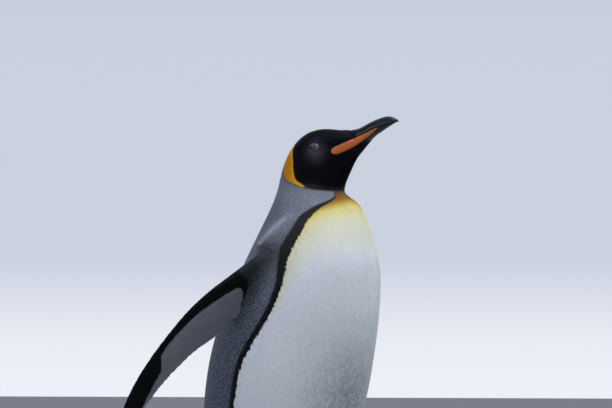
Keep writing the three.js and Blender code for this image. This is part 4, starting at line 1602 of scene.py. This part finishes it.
class PENGUIN_OT_bill(bpy.types.Operator):
    """Upper and lower mandibles with grooves and cutting edges, and the coloured plates"""

    bl_idname = "penguin.bill"
    bl_label = "Bill"

    def execute(self, context):
        horns = []
        for part in ("upper", "lower"):
            rings, ridge = mandible(part == "upper")
            horns.append(solid_loft(rings))
            # The ridge mark tells the horn's finish where to paint its pale highlights
            piece = loft_piece(f"horn_{part}", "horn_keratin", rings, {"ridge": (ridge, 0)})
            ride(piece, "horn", f"bill_{part}")
        tree = side_tree(horns)
        for name, side in SIDES.items():
            rings, rim = plate_pad(side, tree)
            piece = loft_piece(f"plate_{name}", "plate_lacquer", rings, {"rim": (rim, 1)})
            ride(piece, "plate", f"bill_plate_{name}")
        return {"FINISHED"}


def side_tree(horns):
    """The plumage's surface and the bill, to lay the plates and the lids on."""
    station, angle = np.linspace(17, BODY_END, 90), np.linspace(-math.pi, math.pi, 120, endpoint=False)
    a, b = np.meshgrid(station, angle, indexing="ij")
    points, faces = joined([closed_loft(body_points(a, b, depth=0)), *horns])
    return BVHTree.FromPolygons(points.tolist(), [face for group in faces for face in group.tolist()])


def side_height(tree, x, z, side, beyond=60):
    """How far the surface is from the midline at a place on the head's side."""
    place = tree.ray_cast(Vector((x, side * beyond, z)), Vector((0, -side, 0)))[0]
    return abs(place.y) if place else math.nan


def plate_pad(side, tree, across=15, swell=0.9, thick=1.3, above=0.12):
    """Rings of a domed pad along the lower mandible, laid on the face and the bill, and its rim."""
    upper, lower = (edge[1:-1] for edge in plate_outline())
    w = (1 - np.cos(np.linspace(0, math.pi, across))) / 2
    xz = upper[:, None] + (lower - upper)[:, None] * w[None, :, None]
    heights = np.array([[side_height(tree, x, z, side) for x, z in row] for row in xz])
    for row in heights:
        missed = np.isnan(row)
        row[missed] = np.interp(np.flatnonzero(missed), np.flatnonzero(~missed), row[~missed])
    u = np.linspace(0, 1, len(xz))[:, None]
    crown = (1 - np.abs(2 * w - 1) ** 3) * np.minimum(1, 12 * u) ** 0.5 * np.minimum(1, 6 * (1 - u)) ** 0.5
    outer, inner = (
        np.stack([xz[..., 0], side * height, xz[..., 1]], -1)
        for height in (heights + above + swell * crown, heights - thick)
    )
    return np.concatenate([outer, inner[:, ::-1]], 1), np.concatenate([1 - crown, np.ones_like(crown)], 1)


# ---------- eyes ----------


class PENGUIN_OT_eyes(bpy.types.Operator):
    """Eyeballs with a raised cornea, and the folded bare lids round them"""

    bl_idname = "penguin.eyes"
    bl_label = "Eyes"

    def execute(self, context):
        for name, side in SIDES.items():
            centre = np.array([EYE["x"], side * (EYE["y"] - 0.9), EYE["z"]])
            piece = loft_piece(f"eyeball_{name}", "eye_gloss", *eyeball(centre, side))
            ride(piece, "eye", f"eye_{name}")
            # upper: each point's share of the painted sheen on the upper lid
            points, faces, upper = lids(centre, side)
            piece = new_piece(f"lids_{name}", in_frame(points), faces, "eyelid_skin", {"upper": upper})
            ride(piece, "plumage_head")
        return {"FINISHED"}


def eyeball(centre, side, rows=48, around=64, cornea=0.5):
    """Rings of a sphere about the gaze, bulging over the iris, and the iris's marks."""
    gaze = unit(np.array(GAZE) * [1, side, 1])
    level = unit(np.cross(gaze, [0, 0, 1]))
    upright = np.cross(level, gaze)
    polar = np.linspace(0.02, math.pi - 0.02, rows)[:, None]
    turn = full_turn(around)[None]
    radius = EYE["radius"] + cornea * np.clip(1 - (polar / 0.8) ** 2, 0, 1)
    flat = radius * np.sin(polar)
    parts = (radius * np.cos(polar) + 0 * turn, flat * np.cos(turn), flat * np.sin(turn))
    rings = centre + np.stack(parts, -1) @ np.array([gaze, level, upright])
    marks = {"iris_radius": (flat + 20 * (polar > math.pi / 2), 0)}
    return rings, marks | {"iris_turn": (np.sin(turn) + 2 * np.cos(turn), 0)}


# Outline of an eyelid, from the ball outwards:
# half length, half height, share of the way from ball to face, rise, further rise of the upper lid
LID_PROFILE = [
    (7.1, 4.9, 0, -1.2, 0),
    (7.3, 5.1, 0, 0.0, 0.1),
    (7.6, 5.4, 0, 0.4, 0.3),
    (8.0, 5.9, 0.2, 0.5, 0.7),
    (8.5, 6.5, 0.5, 0.25, 0.6),
    (8.9, 6.9, 0.75, 0.0, -0.1),
    (9.5, 7.5, 1, 0.5, 0.4),
    (10.2, 8.2, 1, 0.4, 0.1),
    (11.0, 9.0, 1, -0.7, 0),
    (9.0, 7.0, 1, -2.6, 0),
]
FACE_DEPTH = 1.1  # mm from the plumage's surface to the lids' base


def lids(centre, side, around=72):
    """A closed ring: rolled rim, fold, groove and an outer edge that dips under the feathers."""
    turn = full_turn(around)
    high = np.clip(np.sin(turn), 0, 1)
    face = face_plane(side)
    rings, shades = [], []
    for half_length, half_height, share, rise, more in LID_PROFILE:
        x, z = half_length * np.cos(turn), half_height * np.sin(turn)
        z = z * (1 - 0.1 * np.cos(turn) ** 2)
        ball = abs(centre[1]) + np.sqrt(np.maximum(EYE["radius"] ** 2 - x**2 - z**2, 4))
        corner = 1.5 * np.cos(turn) ** 2 * (rise > -1)
        y = ball + (face(x, z) - ball) * share + rise + more * high + corner * (1 - share)
        rings.append(np.stack([EYE["x"] + x, side * y, EYE["z"] + z], -1))
        # Painted sheen: strong along the upper lid, weak below, and a tenth as much on the rings that meet
        # the face
        shades.append(np.clip(0.04 + 1.1 * high**1.5, 0, 1) * (0.1 if share == 1 else 1))
    points = np.concatenate(rings)
    faces = grid_faces(len(rings) + 1, around) % len(points)
    return points, facing_out(points, [faces]), np.concatenate(shades)


def face_plane(side):
    """The head's side round the eye as a plane: distance from the midline at an offset from the eye."""
    tree = side_tree([])
    offsets = np.stack([10.5 * np.cos(full_turn(12)), 8.5 * np.sin(full_turn(12))], -1)
    heights = [side_height(tree, EYE["x"] + x, EYE["z"] + z, side) for x, z in offsets]
    matrix = np.column_stack([offsets, np.ones(len(offsets))])
    slope_x, slope_z, level = np.linalg.lstsq(matrix, heights, rcond=None)[0]
    return lambda x, z: level - FACE_DEPTH + slope_x * x + slope_z * z


# ---------- feet ----------


FLOOR_CONTACT = 0.0009  # height in metres below which a sole lies flat on the floor
SCUTE_HEIGHT = 0.00045


class PENGUIN_OT_feet(bpy.types.Operator):
    """Feet with pebbled scutes, and curved claws"""

    bl_idname = "penguin.feet"
    bl_label = "Feet and claws"

    def execute(self, context):
        for name, side in SIDES.items():
            self.foot(name)
            for toe, (degrees, reach) in TOES.items():
                rings, ridge = claw(side, degrees, reach)
                piece = loft_piece(f"nail_{toe}_{name}", "horn_keratin", rings, {"ridge": (ridge, 0)})
                ride(piece, "horn", f"claw_{toe}_{name}")
        return {"FINISHED"}

    def foot(self, name):
        piece = new_object(f"sole_and_web_{name}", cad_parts[f"foot_{name}"].data.copy())
        remesh = piece.modifiers.new("remesh", "REMESH")
        remesh.mode, remesh.voxel_size = "VOXEL", settings("bare_parts").voxel
        soften = piece.modifiers.new("soften", "SMOOTH")
        soften.iterations, soften.factor = 7, 0.5
        graph = bpy.context.evaluated_depsgraph_get()
        mesh = bpy.data.meshes.new_from_object(piece.evaluated_get(graph))
        piece.modifiers.clear()
        piece.data = mesh
        points, normals = read_all(mesh.vertices, "co"), read_all(mesh.vertices, "normal")
        scute = np.array([pebble(point, normal) for point, normal in zip(points, normals)])
        on_floor = points[:, 2] < FLOOR_CONTACT
        points = points + normals * np.where(on_floor, 0, SCUTE_HEIGHT * scute)[:, None]
        points[:, 2] = np.where(on_floor, 0, np.maximum(points[:, 2], 0))
        mesh.vertices.foreach_set("co", points.ravel())
        mesh.update()
        set_marks(mesh, {"scute": scute})
        mesh.materials.clear()
        mesh.materials.append(finish_named("foot_leather"))
        mesh.polygons.foreach_set("use_smooth", np.ones(len(mesh.polygons), bool))
        ride(piece, "foot_skin", f"foot_{name}")


def pebble(point, normal, size=0.0024):
    """Height of the scales: rounded cells, wider across the toes on the upper side."""
    stretch = 0.75 if normal[2] > 0.4 else 1.0
    spot = Vector((point[0] * 1.25, point[1] * stretch, point[2])) / size
    distances, _ = noise.voronoi(spot)
    return min(1.0, (distances[1] - distances[0]) * 2.2)


def claw(side, degrees, reach, rows=26, around=20):
    """Rings of a curved, tapering nail, and the ridge along its top, where the horn's finish paints a pale
    highlight.
    """
    u = np.linspace(0, 1, rows)[:, None]
    turn = full_turn(around)[None]
    radius = CLAW["radius"] * np.sqrt(np.maximum(1 - 0.985 * u, 0))
    along = reach - CLAW["hidden"] + CLAW["length"] * u + 0 * turn
    across = radius * np.cos(turn)
    arch = FOOT["toe_rise"] + 2.2 * np.sin(u * 2.2) - CLAW["droop"] * 0.62 * u * u
    z = arch + 1.1 * radius * np.sin(turn) * (1 + 0.1 * np.sin(turn))
    angle = math.radians(degrees + FOOT["turn_out"])
    ankle_x, ankle_y = FOOT["ankle"]
    x = ankle_x + along * math.cos(angle) - across * math.sin(angle)
    y = side * (ankle_y + along * math.sin(angle) + across * math.cos(angle))
    return np.stack([x, y, np.maximum(z, 0.2)], -1), np.clip(np.sin(turn), 0, 1) ** 2


# ---------- tail ----------


TAIL_ROWS, TAIL_AROUND = 22, 12  # rings of one tail feather and the points of each
# Tail feathers: (share of the fan's half width, layer), the upper layer over the lower one
TAIL_FEATHERS = [(share, 0) for share in np.linspace(-1, 1, 14)]
TAIL_FEATHERS += [(share, 1) for share in np.linspace(-0.8, 0.8, 9)]


class PENGUIN_OT_tail(bpy.types.Operator):
    """Stiff tail feathers in a short fan"""

    bl_idname = "penguin.tail"
    bl_label = "Tail"

    def execute(self, context):
        rng = np.random.default_rng(settings("plumage").seed + 5)
        points, faces = joined([solid_loft(tail_feather(*place)) for place in TAIL_FEATHERS])
        vane = np.append(np.repeat(np.linspace(0, 1, TAIL_ROWS), TAIL_AROUND), [0, 1])
        across = np.append(np.tile(np.cos(full_turn(TAIL_AROUND)), TAIL_ROWS), [0, 0])
        count = len(TAIL_FEATHERS)
        marks = {"vane": np.tile(vane, count), "across": np.tile(across, count)}
        marks["seed"] = np.repeat(rng.random(count), len(vane))
        piece = new_piece("tail_feathers", in_frame(points), faces, "tail_quills", marks)
        ride(piece, "quills", "tail")
        return {"FINISHED"}


def tail_feather(share, layer):
    """Rings of one quill: a lens-shaped vane with a raised shaft. Layer 1 lies over layer 0."""
    root, tip = (np.array([x, 0, z]) for x, z in (TAIL["root"], TAIL["tip"]))
    reach = np.linalg.norm(tip - root) * (1 - TAIL["shorten"] * share**2) * (0.99 - 0.17 * layer)
    along, side = unit(tip - root), np.array([0, 1, 0])
    over = np.cross(side, along)
    angle = math.radians(TAIL["spread"] / 2) * share
    u = np.linspace(0, 1, TAIL_ROWS)
    lift = 2.6 * layer + 1.1 * (1 - abs(share)) - 0.2
    bend = -5 * share**2 * (0.4 + u) + 2.5 * np.sin(u * 2.6) * (0.6 + 0.4 * layer)
    centre = (
        root
        + side * share * TAIL["root_half"]
        + np.outer(reach * u * math.cos(angle), along)
        + np.outer(reach * u * math.sin(angle), side)
        + np.outer(bend + lift, over)
    )
    wide = (6.8 - 0.8 * layer) * np.sqrt(np.clip(1 - (2 * u - 1.05) ** 6, 0.004, 1)) * (0.75 + 0.25 * u)
    turn = full_turn(TAIL_AROUND)
    across = np.cos(turn)
    thick = 0.55 * (1 - across**2) + 0.55 * bump(across, 0, 0.13) * (1 - 0.5 * u[:, None])
    return (
        centre[:, None]
        + (wide[:, None] * across)[..., None] * np.cross(over, along)
        + (thick * np.sign(np.sin(turn) + 1e-9))[..., None] * over
    )


# ---------- stage ----------

FLOOR_HALF = 60  # metres from the floor's middle to its edge
FLOOR_GAP = 0.0002  # metres from the soles down to the floor
VIEW_TURN = 35  # degrees from square-on to the bird's right side, towards its front
VIEW_CENTRE = 9.6
VIEW_DISTANCE = 5400
CAMERA_HEIGHT = 400
TARGET_HEIGHT = 682
LIGHTS = {
    # name: (place, size, power)
    "high_light": ((0.45, -0.4, 2.15), 1.5, 18),
    "breast_light": ((0.5, 0.42, 1.5), 0.6, 12.3),
    "key_light": ((0.45, -0.9, 1.6), 0.8, 6.4),
    "back_light": ((-1.7, 1.4, 1.5), 1.0, 5),
    "front_light": ((1.25, -1.8, 1.0), 0.5, 3),
}
LIT_PLACE = (0, 0, 0.6)


class PENGUIN_OT_stage(bpy.types.Operator):
    """Pale floor, soft overcast light and the camera"""

    bl_idname = "penguin.stage"
    bl_label = "Stage"

    def execute(self, context):
        self.floor()
        self.light()
        self.camera()
        return {"FINISHED"}

    def floor(self):
        edge = np.linspace(-FLOOR_HALF, FLOOR_HALF, 25)
        x, y = np.meshgrid(edge, edge, indexing="ij")
        points = np.stack([x, y, 0 * x - FLOOR_GAP], -1).reshape(-1, 3)
        piece = new_piece("floor", points, [grid_faces(25, 25, wrap=False)[:, ::-1]], None)
        finish = Finish("floor_paint", {"Specular IOR Level": 0.2})
        mottle = finish.cloud(3, 4)
        pale = settings("stage").floor
        finish.feed("Base Color", finish.blend(scaled(pale, 0.97), pale, mottle))
        finish.feed("Roughness", 0.75 + mottle * 0.1)
        piece.data.materials.append(finish.material)

    def light(self):
        stage = settings("stage")
        low, high = stage.sky_low, stage.sky_high
        world = bpy.data.worlds.new("overcast")
        bpy.context.scene.world = world
        sky = Nodes(world)
        direction = sky.node("ShaderNodeTexCoord")
        height = sky.node("ShaderNodeSeparateXYZ", None, {0: direction}, output=2)
        shades = sky.ramp(height, [
            (0.0, low), (0.014, scaled(low, 0.95)), (0.035, scaled(high, 1.02)),
            (0.1, high), (0.3, scaled(high, 0.55)), (1.0, high),
        ])
        background = sky.tree.nodes["Background"]
        sky.fill(background.inputs["Color"], shades)
        sky.fill(background.inputs["Strength"], stage.sky_strength)
        for name, (place, size, power) in LIGHTS.items():
            data = bpy.data.lights.new(name, "AREA")
            data.size, data.energy = size, power
            aimed(name, data, place, LIT_PLACE).visible_camera = False
        bpy.context.scene.view_settings.view_transform = "Standard"

    def camera(self):
        turn = math.radians(VIEW_TURN)
        right = np.array([math.cos(turn), math.sin(turn), 0])
        back = np.array([math.sin(turn), -math.cos(turn), 0])
        middle = VIEW_CENTRE * right
        place = in_frame(middle + VIEW_DISTANCE * back + [0, 0, CAMERA_HEIGHT])
        target = in_frame(middle + [0, 0, TARGET_HEIGHT])
        data = bpy.data.cameras.new("camera")
        data.lens = settings("stage").lens
        data.clip_start, data.clip_end = 0.05, 400
        bpy.context.scene.camera = aimed("camera", data, place, target)


def aimed(name, data, place, target):
    """A camera or a light at one place that looks at another."""
    made = new_object(name, data)
    made.location = place
    made.rotation_euler = (Vector(target) - Vector(place)).to_track_quat("-Z", "Y").to_euler()
    return made


# ---------- panel and run ----------

OPERATORS = (
    PENGUIN_OT_skin,
    PENGUIN_OT_coat,
    PENGUIN_OT_bill,
    PENGUIN_OT_eyes,
    PENGUIN_OT_feet,
    PENGUIN_OT_tail,
    PENGUIN_OT_stage,
)


class PENGUIN_PT_panel(bpy.types.Panel):
    """Sizes, colours and the steps that build the bird"""

    bl_idname = "PENGUIN_PT_panel"
    bl_label = "King Penguin"
    bl_space_type = "VIEW_3D"
    bl_region_type = "UI"
    bl_category = "Penguin"

    def draw(self, context):
        for operator in OPERATORS:
            self.layout.operator(operator.bl_idname)
        for name, group in SETTINGS.items():
            box = self.layout.box()
            box.label(text=group.__doc__)
            for key in group.__annotations__:
                box.prop(getattr(context.scene, name), key)


CLASSES = (*SETTINGS.values(), *OPERATORS, PENGUIN_PT_panel)


def register():
    for cls in CLASSES:
        bpy.utils.register_class(cls)
    for name, group in SETTINGS.items():
        setattr(bpy.types.Scene, name, PointerProperty(type=group))


def unregister():
    for name in SETTINGS:
        delattr(bpy.types.Scene, name)
    for cls in reversed(CLASSES):
        bpy.utils.unregister_class(cls)


def main():
    register()
    for operator in OPERATORS:
        group, step = operator.bl_idname.split(".")
        getattr(getattr(bpy.ops, group), step)()


if __name__ == "__main__":
    main()
